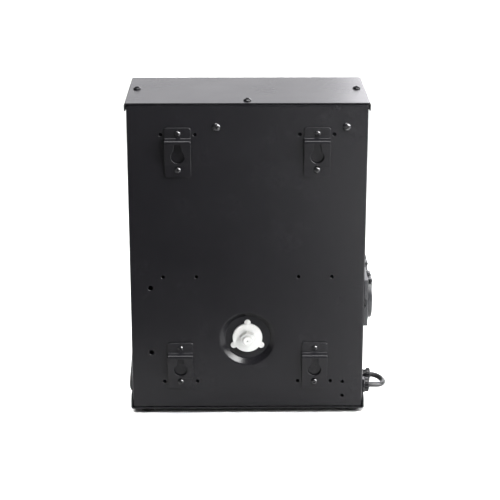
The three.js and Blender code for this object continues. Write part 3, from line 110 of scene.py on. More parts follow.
camera_data = bpy.data.cameras.new("photo_camera")
camera_data.lens = 111.22
camera_data.sensor_width = 36
camera_data.clip_end = 50
camera = new_object("photo_camera", camera_data)
camera.location = (-0.01485, -1.55598, 0.6565)
camera.rotation_euler = (math.radians(90 - 17.721), 0, math.radians(-0.589))
SCENE.camera = camera
print("camera", [round(value, 4) for value in camera.location])

# %% [markdown]
# ## The link lead
#
# A round rubber lead leaves one gland, makes a tight loop and goes back into the other. Its
# two ends run on inside the case to the terminals. A cable is one line with a thickness, so
# it is drawn as a curve: the points are the route, and the bevel of the curve is the sheath.
# Automatic handles keep the bend of a stiff cable even between the points.

# %% Lead
LEAD_DIAMETER = 5.5
LOOP_ROUTE = [
    (2.3, 39.7, 26.0), (7.6, 39.7, 26.0), (11.6, 39.7, 26.0), (15.2, 39.1, 25.7),
    (18.4, 37.4, 25.2), (21.1, 34.7, 24.6), (22.9, 31.4, 24.0), (23.9, 27.6, 23.7),
    (23.7, 23.8, 23.7), (22.4, 20.1, 23.9), (20.0, 16.6, 24.4), (16.6, 13.9, 25.1),
    (12.6, 12.4, 25.7), (8.2, 12.0, 26.0), (2.3, 12.0, 26.0),
]
FAR_TAIL_ROUTE = [
    (2.0, 39.7, 26.0), (-11, 39.7, 26.0), (-18, 38.5, 27.0), (-24, 34, 31), (-27, 26, 37),
    (-27.4, 17, 43), (-27, 10.5, 49), (-27, 8.3, 57), (-27, 8.3, 66), (-27, 8.3, 75.6),
]
NEAR_TAIL_ROUTE = [
    (2.0, 12.0, 26.0), (-11, 12.0, 26.0), (-16, 11.8, 27.5), (-19.2, 10.8, 33),
    (-20.3, 9.4, 41), (-20.4, 8.5, 49), (-20.4, 8.3, 57.6), (-20.4, 8.3, 66),
    (-20.4, 8.3, 75.6),
]


def lead_along(name, node, route):
    """A lead in place of a solid. The points of its route are measured from the right wall."""
    curve = bpy.data.curves.new(name, "CURVE")
    curve.dimensions = "3D"
    curve.bevel_depth = 1
    curve.bevel_resolution = 7
    curve.resolution_u = 8
    curve.use_fill_caps = True
    spline = curve.splines.new("BEZIER")
    spline.bezier_points.add(len(route) - 1)
    for knot, (x, y, z) in zip(spline.bezier_points, route):
        knot.co = to_row(WALL + x, y, z)
        knot.radius = LEAD_DIAMETER / 2000
        knot.handle_left_type = "AUTO"
        knot.handle_right_type = "AUTO"
    lead = new_object(name, curve)
    bpy.context.view_layer.update()
    length = spline.calc_length()
    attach(lead, "case")
    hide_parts(node)
    print(f"{name}: {length * 1000:.0f} mm long")
    return lead


LEADS = [lead_along("loop_of_lead", "link_lead", LOOP_ROUTE),
         lead_along("far_lead_end", "lead_tail_far", FAR_TAIL_ROUTE),
         lead_along("near_lead_end", "lead_tail_near", NEAR_TAIL_ROUTE)]

# %% [markdown]
# ## Floor and light
#
# The machine stands on a white sweep. Black satin paint shows mostly what it mirrors, so the
# lights are placed by what each face looks toward: the top mirrors two pale panels behind the
# machine, the panel mirrors the floor in front, and the slope of the dish mirrors a soft box
# at the front right, which also makes the right half of the panel lighter.
#
# A pure white floor needs more light than the machine can take. Light linking settles that:
# each light has a list of what it reaches. Some reach only the floor, some all but the floor,
# and two leave out the white outlet too. A grid narrows the beam of a box, so small boxes
# each lift one patch of the floor, and large ones keep it white from every direction.

# %% Floor
def mesh_of(shape, name):
    """A mesh from a loose shape, which is used up."""
    mesh = bpy.data.meshes.new(name)
    shape.to_mesh(mesh)
    shape.free()
    return mesh


floor_plan = bmesh.new()
bmesh.ops.create_grid(floor_plan, x_segments=1, y_segments=1, size=7)
floor = new_object("floor", mesh_of(floor_plan, "floor"))
print("floor:", [round(side) for side in floor.dimensions[:2]], "metres")

# %% Lists for light linking
def add_to(group, thing, state):
    """Puts a thing in a list, either to be lit (INCLUDE) or to be left dark (EXCLUDE)."""
    group.objects.link(thing)
    group.collection_objects[-1].light_linking.link_state = state


def lit_group(name, state):
    """A new list that holds the floor, to be lit or to be left dark."""
    group = bpy.data.collections.new(name)
    add_to(group, floor, state)
    return group


ONLY_FLOOR = lit_group("only_the_floor", "INCLUDE")
NOT_FLOOR = lit_group("not_the_floor", "EXCLUDE")
NOT_WHITE = lit_group("neither_floor_nor_outlet", "EXCLUDE")
print("lists:", [group.name for group in bpy.data.collections])

# %% Lights
def soft_box(name, place, target, width, height, watts, lit, tint=(1, 1, 1), roll=0, grid=180):
    """A rectangular light that faces the target. A grid in front narrows its beam."""
    lamp = bpy.data.lights.new(name, "AREA")
    lamp.shape = "RECTANGLE"
    lamp.size = width
    lamp.size_y = height
    lamp.energy = watts
    lamp.color = tint
    lamp.spread = math.radians(grid)
    box = new_object(name, lamp)
    box.location = place
    aim = Vector(target) - Vector(place)
    turned = aim.to_track_quat("-Z", "Y") @ Quaternion((0, 0, 1), math.radians(roll))
    box.rotation_euler = turned.to_euler()
    box.light_linking.receiver_collection = lit


LAVENDER = (0.97, 0.96, 1)
soft_box("front_right_box", (1.22, -1.42, 1.36), (0, 0, 0.15), 0.85, 0.85, 40, NOT_FLOOR)
soft_box("overhead_box", (0.05, -0.42, 1.9), (0, -0.06, 0.3), 1.0, 0.35, 38, NOT_WHITE)
soft_box("long_strip_box", (1.47, -0.8, 1.2), (0, -0.06, 0.1), 0.45, 2.3, 240, NOT_WHITE, roll=39)
soft_box("back_panel", (0, 1.9, 1.0), (0, 0, 0.3), 3.2, 1.1, 17.5, NOT_FLOOR, LAVENDER)
soft_box("back_right_panel", (1.05, 1.8, 0.95), (0.4, 0, 0.3), 1.7, 1.1, 16, NOT_FLOOR, LAVENDER)
print("lights of the machine:", len(bpy.data.lights))

# %% Lights of the floor
FLOOR_BOXES = [
    # name, place, target, width, height, watts, grid
    ("backdrop_box", (0, 3.2, 3.0), (0, 2.7, 0), 4.0, 3.0, 90, 80),
    ("left_floor_box", (-0.85, 0.5, 1.1), (-0.5, 0.4, 0), 0.8, 0.9, 6, 70),
    ("right_floor_box", (0.85, 0.5, 1.1), (0.5, 0.4, 0), 0.8, 0.9, 6, 70),
    ("near_left_box", (-0.5, 0.05, 0.9), (-0.37, 0.08, 0), 0.4, 0.5, 1.1, 45),
    ("near_right_box", (0.5, 0.05, 0.9), (0.38, 0.05, 0), 0.4, 0.5, 1.5, 50),
    ("front_floor_box", (0.05, -0.14, 0.5), (0.05, -0.14, 0), 0.56, 0.14, 0.55, 45),
    ("near_strip_box", (0.3, -0.75, 0.14), (0.27, -0.75, 0), 1.3, 0.1, 1.3, 110),
    ("far_strip_box", (0.36, -0.85, 0.2), (0.26, -0.85, 0), 1.3, 0.1, 4.8, 90),
    ("low_front_box", (0.5, -1.35, 0.25), (0.4, -1.3, 0), 0.3, 0.3, 2.2, 110),
    ("side_floor_box", (1.0, -0.1, 0.9), (1.0, -0.1, 0), 0.6, 0.6, 16, 80),
    ("far_left_box", (-2.5, -0.4, 2.2), (-2.5, -0.4, 0), 1.4, 5, 60, 75),
    ("far_right_box", (2.5, -0.4, 2.2), (2.5, -0.4, 0), 1.4, 5, 65, 75),
    ("front_left_box", (-1.45, -1.9, 1.5), (-1.45, -1.9, 0), 0.8, 1.2, 7, 60),
    ("behind_camera_box", (0, -3.5, 2.6), (0, -3.5, 0), 5, 2, 80, 75),
]
for *measures, grid in FLOOR_BOXES:
    soft_box(*measures, ONLY_FLOOR, grid=grid)

world = bpy.data.worlds.new("studio")
world.use_nodes = True
background = world.node_tree.nodes["Background"]
background.inputs["Color"].default_value = (1, 1, 1, 1)
background.inputs["Strength"].default_value = 0.15
SCENE.world = world
SCENE.view_settings.view_transform = "Standard"
print("lights in all:", len(bpy.data.lights))

# %% [markdown]
# ## Writing finishes as sums
#
# A procedural finish is a small calculation at each point of a surface. Blender draws that
# calculation as nodes. The class below wraps one output of a node, so that a sum written in
# Python, such as `1 - grain * 0.2`, adds the Math nodes for it. The reflected forms, such as
# `__rsub__`, let the plain number stand first. A second class holds one material and makes
# any other node from its type, its settings and its inputs.

# %% Signal and finish
class Signal:
    """One output of a shader node."""

    def __init__(self, socket):
        self.socket = socket

    def _sum(self, operation, first, second):
        """Adds one Math node for two values, each a signal or a plain number."""
        tree = self.socket.id_data
        node = tree.nodes.new("ShaderNodeMath")
        node.operation = operation
        for place, value in enumerate((first, second)):
            if isinstance(value, Signal):
                tree.links.new(value.socket, node.inputs[place])
            else:
                node.inputs[place].default_value = value
        return Signal(node.outputs[0])

    def __add__(self, other):
        return self._sum("ADD", self, other)

    def __sub__(self, other):
        return self._sum("SUBTRACT", self, other)

    def __rsub__(self, other):
        return self._sum("SUBTRACT", other, self)

    def __mul__(self, other):
        return self._sum("MULTIPLY", self, other)

    __radd__ = __add__
    __rmul__ = __mul__


class Finish:
    """One material. Values that are the same all over go straight to the shader."""

    def __init__(self, name, **even):
        self.material = bpy.data.materials.new(name)
        self.material.use_nodes = True
        self.tree = self.material.node_tree
        self.shader = self.tree.nodes["Principled BSDF"]
        for word, value in even.items():
            self.shader.inputs[word.replace("_", " ")].default_value = value
        self.place = self.node("ShaderNodeTexCoord", output="Object")

    def node(self, kind, settings=None, inputs=None, output=0):
        made = self.tree.nodes.new(kind)
        for word, value in (settings or {}).items():
            setattr(made, word, value)
        for word, value in (inputs or {}).items():
            if isinstance(value, Signal):
                self.tree.links.new(value.socket, made.inputs[word])
            else:
                made.inputs[word].default_value = value
        return Signal(made.outputs[output])

    def feed(self, **varying):
        for word, signal in varying.items():
            self.tree.links.new(signal.socket, self.shader.inputs[word.replace("_", " ")])

    def placed(self, centre=(0, 0, 0), turn=(0, 0, 0), stretch=(1, 1, 1)):
        """The object's own coordinates, measured from a centre, turned and stretched."""
        moved = self.node("ShaderNodeVectorMath", {"operation": "SUBTRACT"},
                          {0: self.place, 1: centre})
        return self.node("ShaderNodeMapping", None,
                         {"Vector": moved, "Rotation": turn, "Scale": stretch})

    def grain(self, size, detail=2.0, where=None):
        """Noise whose lumps are about `size` millimetres across."""
        return self.node("ShaderNodeTexNoise", None,
                         {"Vector": where or self.place, "Scale": 1000 / size, "Detail": detail})

    def blended(self, share, first, second):
        return self.node("ShaderNodeMix", {"data_type": "RGBA"},
                         {0: share, 6: (*first, 1), 7: (*second, 1)}, output=2)

    def skin(self, share, dark, pale, rough):
        """A colour that goes from dark to pale with a share, and a roughness."""
        self.feed(Base_Color=self.blended(share, dark, pale), Roughness=rough)

    def relief(self, height, depth, strength=1.0):
        """A bump of `depth` millimetres."""
        bump = self.node("ShaderNodeBump", None,
                         {"Height": height, "Distance": depth / 1000, "Strength": strength})
        self.feed(Normal=bump)


print("sums of signals:", [name for name in vars(Signal) if name.startswith("__r")])

# %% [markdown]
# ## Floor finish
#
# Studio paper is matt and nearly white. A trace of slow mottling is enough, because the
# light bleaches it to plain white.

# %% Floor finish
paper = Finish("white_paper", Roughness=0.75)
paper.feed(Base_Color=paper.blended(paper.grain(300), (0.88, 0.88, 0.885), (0.9, 0.9, 0.9)))
floor.data.materials.append(paper.material)
print("floor:", paper.material.name)

# %% [markdown]
# ## Black powder coat
#
# The case is coated with black powder, baked until it flows. It keeps a faint orange peel:
# lumps a millimetre or two across that are only microns high, with a finer grain on top.
# Both go into one bump. The roughness wanders a little, which breaks up the broad mirror
# image of the studio on the flat panel. Screws are blackened rather than painted, so they
# glint, and the air hood has a duller powder than the case.

# %% Powder coats and black screws
powder = Finish("black_powder_coat", Specular_IOR_Level=0.16)
peel = powder.grain(1.6, 3.0)
speck = powder.grain(0.35, 2.0)
cloud = powder.grain(38, 3.0)
powder.skin(cloud, (0.0024, 0.0023, 0.0029), (0.0038, 0.0037, 0.0045),
            0.2 + cloud * 0.08 + speck * 0.04)
powder.relief(peel * 0.7 + speck * 0.3, 0.02, 0.6)

blackened = Finish("blackened_screw_steel", Specular_IOR_Level=0.35)
worn = blackened.grain(1.1, 4.0)
blackened.skin(worn, (0.003, 0.003, 0.0035), (0.008, 0.008, 0.009), 0.1 + worn * 0.1)
blackened.relief(blackened.grain(0.4), 0.01, 0.3)

matt_powder = Finish("matt_black_powder", Specular_IOR_Level=0.03)
matt_peel = matt_powder.grain(1.2, 3.0)
matt_powder.skin(matt_powder.grain(30), (0.006, 0.006, 0.0065), (0.009, 0.009, 0.0095),
                 0.5 + matt_peel * 0.15)
matt_powder.relief(matt_peel, 0.02, 0.5)
print("steel finishes:", powder.material.name, blackened.material.name, matt_powder.material.name)

# %% [markdown]
# ## Plastics and rubber
#
# Moulded parts carry the texture of their mould: very fine on the socket frames and lids,
# coarser on the nylon glands. Rubber is matt with a dusty bloom. The outlet is a white
# heat-proof plastic turned on a lathe, so its bump is a set of fine rings round its own axis.

# %% Plastics and rubber
OUTLET_AXIS = to_row(0, 0, OUTLET_Z)

rubber = Finish("black_rubber", Specular_IOR_Level=0.3)
bloom = rubber.grain(4, 4.0)
rubber.skin(bloom, (0.01, 0.01, 0.01), (0.022, 0.022, 0.022), 0.68 + bloom * 0.2)
rubber.relief(rubber.grain(0.5, 3.0), 0.02, 0.5)

white = Finish("white_heatproof_plastic", Specular_IOR_Level=0.45)
rings = white.node("ShaderNodeTexWave",
                   {"wave_type": "RINGS", "rings_direction": "Y"},
                   {"Vector": white.placed(OUTLET_AXIS), "Scale": 700, "Distortion": 0.3},
                   output="Fac")
haze = white.grain(6, 3.0)
white.skin(haze, (0.62, 0.625, 0.61), (0.67, 0.67, 0.655), 0.38 + haze * 0.14)
white.relief(rings, 0.006, 0.5)

socket_plastic = Finish("grey_socket_plastic", Specular_IOR_Level=0.4)
mould = socket_plastic.grain(0.45, 2.0)
socket_plastic.skin(socket_plastic.grain(15), (0.006, 0.0063, 0.0075), (0.0095, 0.0098, 0.0115),
                    0.28 + mould * 0.12)
socket_plastic.relief(mould, 0.015, 0.5)

nylon = Finish("black_nylon", Specular_IOR_Level=0.22)
nylon_grain = nylon.grain(0.8, 3.0)
nylon.skin(nylon_grain, (0.002, 0.002, 0.0025), (0.004, 0.004, 0.0045), 0.14 + nylon_grain * 0.1)
nylon.relief(nylon_grain, 0.01, 0.4)

sheath = Finish("lead_sheath", Specular_IOR_Level=0.25)
scuff = sheath.grain(7, 5.0)
untouched = 1 - scuff
sheath.skin(scuff, (0.007, 0.007, 0.0075), (0.015, 0.015, 0.0155), 0.36 - untouched * 0.16)
sheath.relief(sheath.grain(0.9, 3.0), 0.02, 0.4)
print("plastics:", rubber.material.name, white.material.name, socket_plastic.material.name)

# %% [markdown]
# ## Finishes of the inner parts
#
# The parts inside can only be seen when the case is opened, but each has the surface of its
# own trade: milled aluminium, zinc-coated sheet, mineral wool, a milky tank, brass, silicone
# tube, a green circuit board and pressed transformer sheets. The tank cradle is the exception:
# it is drawn nearly black, as painted shade for what shows through the small holes of the panel.

# %% Inner finishes
def metal(name, dark, pale, rough, stretch=(1, 1, 1), size=1.0, depth=0.01):
    """A bare metal whose grain can be drawn out along one axis."""
    made = Finish(name, Metallic=1.0)
    streak = made.grain(size, 3.0, made.placed(stretch=stretch))
    made.skin(streak, dark, pale, rough + streak * 0.18)
    made.relief(streak, depth, 0.4)
    return made


steel = metal("bright_steel", (0.42, 0.42, 0.43), (0.6, 0.6, 0.61), 0.2, (1, 0.15, 1), 0.8)
aluminium = metal("milled_aluminium", (0.62, 0.63, 0.64), (0.76, 0.77, 0.78), 0.28, (1, 1, 0.1), 0.9)
brass = metal("brass", (0.55, 0.38, 0.15), (0.72, 0.52, 0.22), 0.24, (1, 0.2, 1), 0.9)
core_steel = metal("pressed_core_sheets", (0.16, 0.16, 0.17), (0.34, 0.34, 0.35), 0.36,
                   (0.05, 1, 0.05), 0.5, 0.05)

zinc = Finish("zinc_coated_sheet", Metallic=1.0)
spangle = zinc.node("ShaderNodeTexVoronoi", {"feature": "F1"},
                    {"Vector": zinc.place, "Scale": 160}, output="Distance")
zinc.skin(spangle, (0.42, 0.45, 0.47), (0.62, 0.65, 0.67), 0.28 + spangle * 0.3)
zinc.relief(spangle, 0.01, 0.3)

# The tank cradle is nearly black and reflects almost nothing: painted shade, so the small holes of the
# panel read dark.
hole_shade_sheet = metal("hole_shade_sheet", (0.002, 0.002, 0.0025), (0.004, 0.004, 0.0045), 0.4)

wool = Finish("mineral_wool", Specular_IOR_Level=0.2)
fibres = wool.grain(1.2, 6.0, wool.placed(stretch=(1, 0.35, 1)))
wool.skin(fibres, (0.42, 0.38, 0.27), (0.74, 0.70, 0.58), 0.85 + fibres * 0.1)
wool.relief(fibres, 0.6, 0.8)


def moulded(name, dark, pale, rough, size=3.0, depth=0.02, **even):
    """A moulded part with a faint mottle and the grain of its mould."""
    made = Finish(name, **even)
    mottle = made.grain(size, 3.0)
    made.skin(mottle, dark, pale, rough + mottle * 0.12)
    made.relief(made.grain(0.5), depth, 0.4)
    return made


tank_milk = moulded("milky_tank", (0.62, 0.64, 0.60), (0.74, 0.76, 0.72), 0.4, 20,
                    Transmission_Weight=0.25)
cap_plastic = moulded("black_cap", (0.012, 0.012, 0.014), (0.022, 0.022, 0.025), 0.4)
silicone = moulded("silicone_tube", (0.62, 0.66, 0.68), (0.74, 0.78, 0.80), 0.3, 5, 0.01,
                   Transmission_Weight=0.4)
terminal_plastic = moulded("terminal_plastic", (0.62, 0.62, 0.58), (0.72, 0.72, 0.68), 0.42)

board_green = Finish("circuit_board_green", Specular_IOR_Level=0.5)
tracks = board_green.node("ShaderNodeTexBrick", None,
                          {"Vector": board_green.placed(turn=(0, math.pi / 2, 0)), "Scale": 60,
                           "Mortar Size": 0.03}, output="Fac")
board_green.skin(tracks, (0.012, 0.075, 0.03), (0.03, 0.16, 0.07), 0.32 + tracks * 0.1)
board_green.relief(tracks, 0.03, 0.5)

INNER_FINISHES = {
    "heater_block": aluminium, "heating_cartridge": steel, "thermal_cutout": steel,
    "insulation_left": wool, "insulation_right": wool, "heater_cradle": zinc,
    "tank_cradle": hole_shade_sheet, "fluid_tank": tank_milk, "tank_cap": cap_plastic, "pump": brass,
    "suction_tube": silicone, "delivery_tube": silicone, "circuit_board": board_green,
    "transformer": core_steel, "terminal_block": terminal_plastic,
}
for node_name, finish in INNER_FINISHES.items():
    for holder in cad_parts[node_name].material_slots:
        holder.material = finish.material
for lead in LEADS:
    lead.data.materials.append(sheath.material)
print("inner parts finished:", len(INNER_FINISHES))

# %% [markdown]
# ## Tools of a small workshop
#
# Almost every piece here is one of four things: a block, a turned rod, a sheet folded along
# straight lines, or any of these with holes cut in it. Each gets a short function on top of
# Blender's mesh operators. Holes are cut by the Boolean modifier on a loose object, and the
# changed mesh is read back, so the result is plain geometry again.

# %% Blocks and rods
def block(x, y, z):
    """A cuboid between two coordinates on each axis."""
    shape = bmesh.new()
    bmesh.ops.create_cube(shape, size=1)
    spans = (x, y, z)
    bmesh.ops.scale(shape, vec=[high - low for low, high in spans], verts=shape.verts)
    bmesh.ops.translate(shape, vec=[(low + high) / 2 for low, high in spans], verts=shape.verts)
    return shape


def edges_where(shape, test):
    """The edges whose two ends both pass a test on their place."""
    return [edge for edge in shape.edges if all(test(vert.co) for vert in edge.verts)]


def round_over(shape, edges, radius, segments=5):
    """The shape with some of its edges rounded."""
    bmesh.ops.bevel(shape, geom=edges, offset=radius, offset_type="OFFSET", segments=segments,
                    profile=0.5, affect="EDGES", material=-1)
    return shape


def slab(x, y, z, through, corner, segments=8):
    """A block whose four edges along one axis are rounded."""
    shape = block(x, y, z)
    axis = "xyz".index(through)
    along = [edge for edge in shape.edges
             if abs((edge.verts[0].co - edge.verts[1].co)[axis]) > 1e-6]
    return round_over(shape, along, corner, segments)


UPRIGHT = {
    "x": Matrix.Rotation(math.pi / 2, 4, "Y"),
    "y": Matrix.Rotation(-math.pi / 2, 4, "X"),
    "z": Matrix.Identity(4),
}


def stood_along(shape, axis, centre):
    """A shape made along Z, turned to an axis and moved to a place on the other two."""
    bmesh.ops.transform(shape, matrix=UPRIGHT[axis], verts=shape.verts)
    first, second = centre
    offset = {"x": (0, first, second), "y": (first, 0, second), "z": (first, second, 0)}[axis]
    bmesh.ops.translate(shape, vec=offset, verts=shape.verts)
    return shape


def rod(axis, radius, start, end, centre, sides=48, tip=None, turn=0.0):
    """A rod, or with a `tip` of another radius a cone, between two places on an axis."""
    shape = bmesh.new()
    bmesh.ops.create_cone(shape, cap_ends=True, segments=sides, radius1=radius,
                          radius2=radius if tip is None else tip, depth=end - start)
    bmesh.ops.translate(shape, vec=(0, 0, (start + end) / 2), verts=shape.verts)
    if turn:
        bmesh.ops.rotate(shape, cent=(0, 0, 0), matrix=Matrix.Rotation(math.radians(turn), 3, "Z"),
                         verts=shape.verts)
    return stood_along(shape, axis, centre)


print("blocks, slabs and rods can lie along", list(UPRIGHT))

# %% Joining, cutting and spinning
def together(*shapes):
    """Several shapes as the loose parts of one."""
    whole = bmesh.new()
    for shape in shapes:
        step = mesh_of(shape, "step")
        whole.from_mesh(step)
        bpy.data.meshes.remove(step)
    return whole


def copy_of(shape, *moves):
    """A copy of a shape, moved by the matrices in turn."""
    twin = shape.copy()
    for move in moves:
        bmesh.ops.transform(twin, matrix=move, verts=twin.verts)
    return twin


def read_back(bench):
    """The finished mesh of an object, as a loose shape. The object is taken away."""
    seen = bench.evaluated_get(bpy.context.evaluated_depsgraph_get())
    shape = bmesh.new()
    shape.from_mesh(seen.to_mesh())
    seen.to_mesh_clear()
    bpy.data.objects.remove(bench)
    return shape


def worked(shape, kind, **settings):
    """The shape after one modifier."""
    mesh = mesh_of(shape, "work")
    bench = new_object("work", mesh)
    modifier = bench.modifiers.new("work", kind)
    for word, value in settings.items():
        setattr(modifier, word, value)
    result = read_back(bench)
    bpy.data.meshes.remove(mesh)
    return result


def combine(shape, tool, operation):
    """Two shapes made one by the Boolean modifier."""
    mesh = mesh_of(tool, "tool")
    holder = new_object("tool", mesh)
    result = worked(shape, "BOOLEAN", operation=operation, solver="EXACT", object=holder)
    bpy.data.objects.remove(holder)
    bpy.data.meshes.remove(mesh)
    return result


def cut(shape, *tools):
    """The shape with the tools, which don't touch each other, taken out of it."""
    return combine(shape, together(*tools), "DIFFERENCE")


def fused(shape, *others):
    """The shape with the others joined on, one after another."""
    for other in others:
        shape = combine(shape, other, "UNION")
    return shape


def spun(axis, profile, centre, steps=64):
    """A line of (radius, place along the axis) turned once round the axis."""
    shape = bmesh.new()
    corners = [shape.verts.new((radius, 0, along)) for radius, along in profile]
    line = [shape.edges.new(pair) for pair in zip(corners, corners[1:])]
    bmesh.ops.spin(shape, geom=corners + line, cent=(0, 0, 0), axis=(0, 0, 1), dvec=(0, 0, 0),
                   angle=math.tau, steps=steps, use_merge=True)
    bmesh.ops.remove_doubles(shape, verts=shape.verts, dist=1e-5)
    bmesh.ops.recalc_face_normals(shape, faces=shape.faces)
    return stood_along(shape, axis, centre)


trial = spun("y", [(0, 0), (3, 0), (3, 8), (0, 8)], (0, 0), 24)
print("a spun shape has", len(trial.verts), "points and volume", round(trial.calc_volume(), 1))
trial.free()

# %% [markdown]
# ## Folded sheet
#
# A press brake folds a flat blank along straight lines, and each fold has a small radius. In
# the computer the line of the blank seen from its end is swept sideways into a surface, the
# fold edges are bevelled into arcs, and the Solidify modifier gives the steel its thickness.
# The setback of each bevel follows from the radius and the angle of the fold.

# %% Folding
def round_folds(shape, radius, segments=6):
    """Bends each fold of an open surface to a radius. Flat joints are left alone."""
    folds = [edge for edge in shape.edges
             if len(edge.link_faces) == 2 and edge.calc_face_angle() > math.radians(8)]
    groups = {}
    for edge in folds:
        groups.setdefault(round(edge.calc_face_angle(), 2), []).append(edge)
    for angle, edges in groups.items():
        round_over(shape, edges, radius * math.tan(angle / 2), segments)
    return shape


def folded(corners, sweep, radius, thickness=SHEET, segments=6):
    """A sheet whose middle line goes through the corners, swept along a straight line."""
    shape = bmesh.new()
    knots = [shape.verts.new(corner) for corner in corners]
    line = [shape.edges.new(pair) for pair in zip(knots, knots[1:])]
    swept = bmesh.ops.extrude_edge_only(shape, edges=line)["geom"]
    moved = [part for part in swept if isinstance(part, bmesh.types.BMVert)]
    bmesh.ops.translate(shape, vec=sweep, verts=moved)
    bmesh.ops.recalc_face_normals(shape, faces=shape.faces)
    round_folds(shape, radius - thickness / 2, segments)
    return worked(shape, "SOLIDIFY", thickness=thickness, offset=0, use_even_offset=True)


trial = folded([(0, 0, 0), (0, 0, 20), (20, 0, 20)], (0, 10, 0), 3)
print("a folded angle has volume", round(trial.calc_volume()), "of about", round(38 * 10 * SHEET))
trial.free()

# %% [markdown]
# ## From a shape to a piece
#
# A finished shape is cleaned of doubled points and faces without area, carried to its place
# and made an object. Real edges are never perfectly sharp: a narrow bevel catches the light
# along each one, and weighted normals keep the large faces flat beside it.

# %% Piece
def piece(name, shape, finish, stands_for=(), body="case", edge=0.2, smooth=32):
    """A named object from a shape, with `edge` millimetres broken off its sharp edges."""
    bmesh.ops.remove_doubles(shape, verts=shape.verts, dist=0.001)
    bmesh.ops.dissolve_degenerate(shape, edges=shape.edges, dist=0.0005)
    bmesh.ops.transform(shape, matrix=TO_ROW, verts=shape.verts)
    mesh = mesh_of(shape, name)
    mesh.shade_smooth()
    mesh.set_sharp_from_angle(angle=math.radians(smooth))
    mesh.materials.clear()
    mesh.materials.append(finish.material)
    thing = new_object(name, mesh)
    if edge:
        broken = thing.modifiers.new("broken_edges", "BEVEL")
        broken.width = edge / 1000
        broken.segments = 2
        broken.limit_method = "ANGLE"
        broken.angle_limit = math.radians(smooth)
        broken.use_clamp_overlap = False
    even = thing.modifiers.new("even_shading", "WEIGHTED_NORMAL")
    even.keep_sharp = True
    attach(thing, body)
    if stands_for:
        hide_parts(*stands_for)
    print(f"{name}: {len(mesh.polygons)} faces")
    return thing


# %% Where the fittings sit
M3_HOLE = 1.75
M4_HOLE = 2.25
COVER_SCREWS = [(-112.8, 69), (112.8, 69), (0, 11.8)]
FRONT_SCREWS = [(-111.5, SHELL_TOP - 20), (111.5, SHELL_TOP - 20)]
PANEL_SCREWS = [(-31, PANEL_FOOT + 300.8), (98.5, PANEL_FOOT + 300.8)]
SOCKET_Z = PANEL_FOOT + 113.7
GLAND_Z = PANEL_FOOT + 20
SOCKET_YS = {"near": 28.0, "far": 86.0}
GLAND_YS = {"near": 12.0, "far": 39.7}
HANGERS = {
    "upper_left": (-69.5, PANEL_FOOT + 294.5), "upper_right": (69.5, PANEL_FOOT + 294.5),
    "lower_left": (-69.5, PANEL_FOOT + 66.6), "lower_right": (69.5, PANEL_FOOT + 66.6),
}
HANGER_PITCH = 37.2
EAR_PLACES = [(16.3 * math.cos(math.radians(a)), 16.3 * math.sin(math.radians(a)) + OUTLET_Z)
              for a in (90, 210, 330)]
print("fittings:", len(SOCKET_YS), "sockets,", len(GLAND_YS), "glands,", len(HANGERS), "hangers")

# %% [markdown]
# ## The bent case
#
# One sheet makes the outlet panel, both sides and two narrow returns at the open front. The
# upper and lower edges are turned in as flanges for the covers. A cube with all its edges
# rounded already has the outside of that shape. Solidify turns it into a hollow box, and
# wide cutters open the front, the top and the bottom and leave only the flanges.

# %% Case blank
SHELL_DEPTH = (shell_high.y - shell_low.y) * 1000
INNER = WALL - SHEET
blank = block((-WALL, WALL), (0, SHELL_DEPTH), (PANEL_FOOT, SHELL_TOP))
round_over(blank, blank.edges[:], BEND)
blank = worked(blank, "SOLIDIFY", thickness=SHEET, offset=-1, use_even_offset=True)

RETURN = 14
RELIEF = 20


def flange_opening(low, high):
    """What is missing between the flanges of one end of the case."""
    side, deep = INNER - 0.5, SHELL_DEPTH
    half = [(0, 16), (WALL - RELIEF, 16), (WALL - RELIEF, 2), (side, 2), (side, RELIEF),
            (WALL - RETURN, RELIEF), (WALL - RETURN, deep - RELIEF), (side, deep - RELIEF),
            (side, deep - 2), (WALL - RETURN, deep - 2), (WALL - RETURN, deep + 5), (0, deep + 5)]
    outline = half + [(-x, y) for x, y in reversed(half[1:-1])]
    shape = bmesh.new()
    face = shape.faces.new([shape.verts.new((x, y, low)) for x, y in outline])
    grown = bmesh.ops.extrude_face_region(shape, geom=[face])["geom"]
    lifted = [part for part in grown if isinstance(part, bmesh.types.BMVert)]
    bmesh.ops.translate(shape, vec=(0, 0, high - low), verts=lifted)
    bmesh.ops.recalc_face_normals(shape, faces=shape.faces)
    return shape


blank = cut(blank, flange_opening(SHELL_TOP - SHEET - 1, SHELL_TOP + 2),
            flange_opening(PANEL_FOOT - 2, PANEL_FOOT + SHEET + 1))
blank = cut(blank, block((RETURN - WALL, WALL - RETURN), (SHELL_DEPTH - 4, SHELL_DEPTH + 4),
                         (0, CASE_TOP + 9)))
print("case blank:", len(blank.faces), "faces, volume", round(blank.calc_volume() / 1000), "cm3")

# %% Holes of the case
SMALL_HOLES = [(side * x, up) for up in (29.3, 144.1, 293.2) for x in (52.2, 86.3) for side in (-1, 1)]
SMALL_HOLES += [(98.9, 12.6), (98.9, 28.4)]
panel = (-2, SHEET + 2)
drills = [rod("y", M3_HOLE, *panel, (x, PANEL_FOOT + up), 24) for x, up in SMALL_HOLES]
drills += [rod("y", 2.5, *panel, (-99.3, PANEL_FOOT + up), 28) for up in (61.6, 132.2)]
drills += [rod("y", M4_HOLE, *panel, place, 24) for place in PANEL_SCREWS]
for x, z in HANGERS.values():
    drills += [rod("y", M3_HOLE, *panel, (x, z - drop), 16) for drop in (0, HANGER_PITCH)]
DISH_RIM = 33.3
ROUND_STEPS = 128
drills.append(spun("y", [(0, -2), (DISH_RIM, -2), (DISH_RIM, 4), (0, 4)], (0, OUTLET_Z), ROUND_STEPS))
wall = (INNER - 2, WALL + 2)
drills += [rod("x", 21.8, *wall, (y, SOCKET_Z), 64) for y in SOCKET_YS.values()]
drills += [rod("x", 5.7, *wall, (y, GLAND_Z), 32) for y in GLAND_YS.values()]
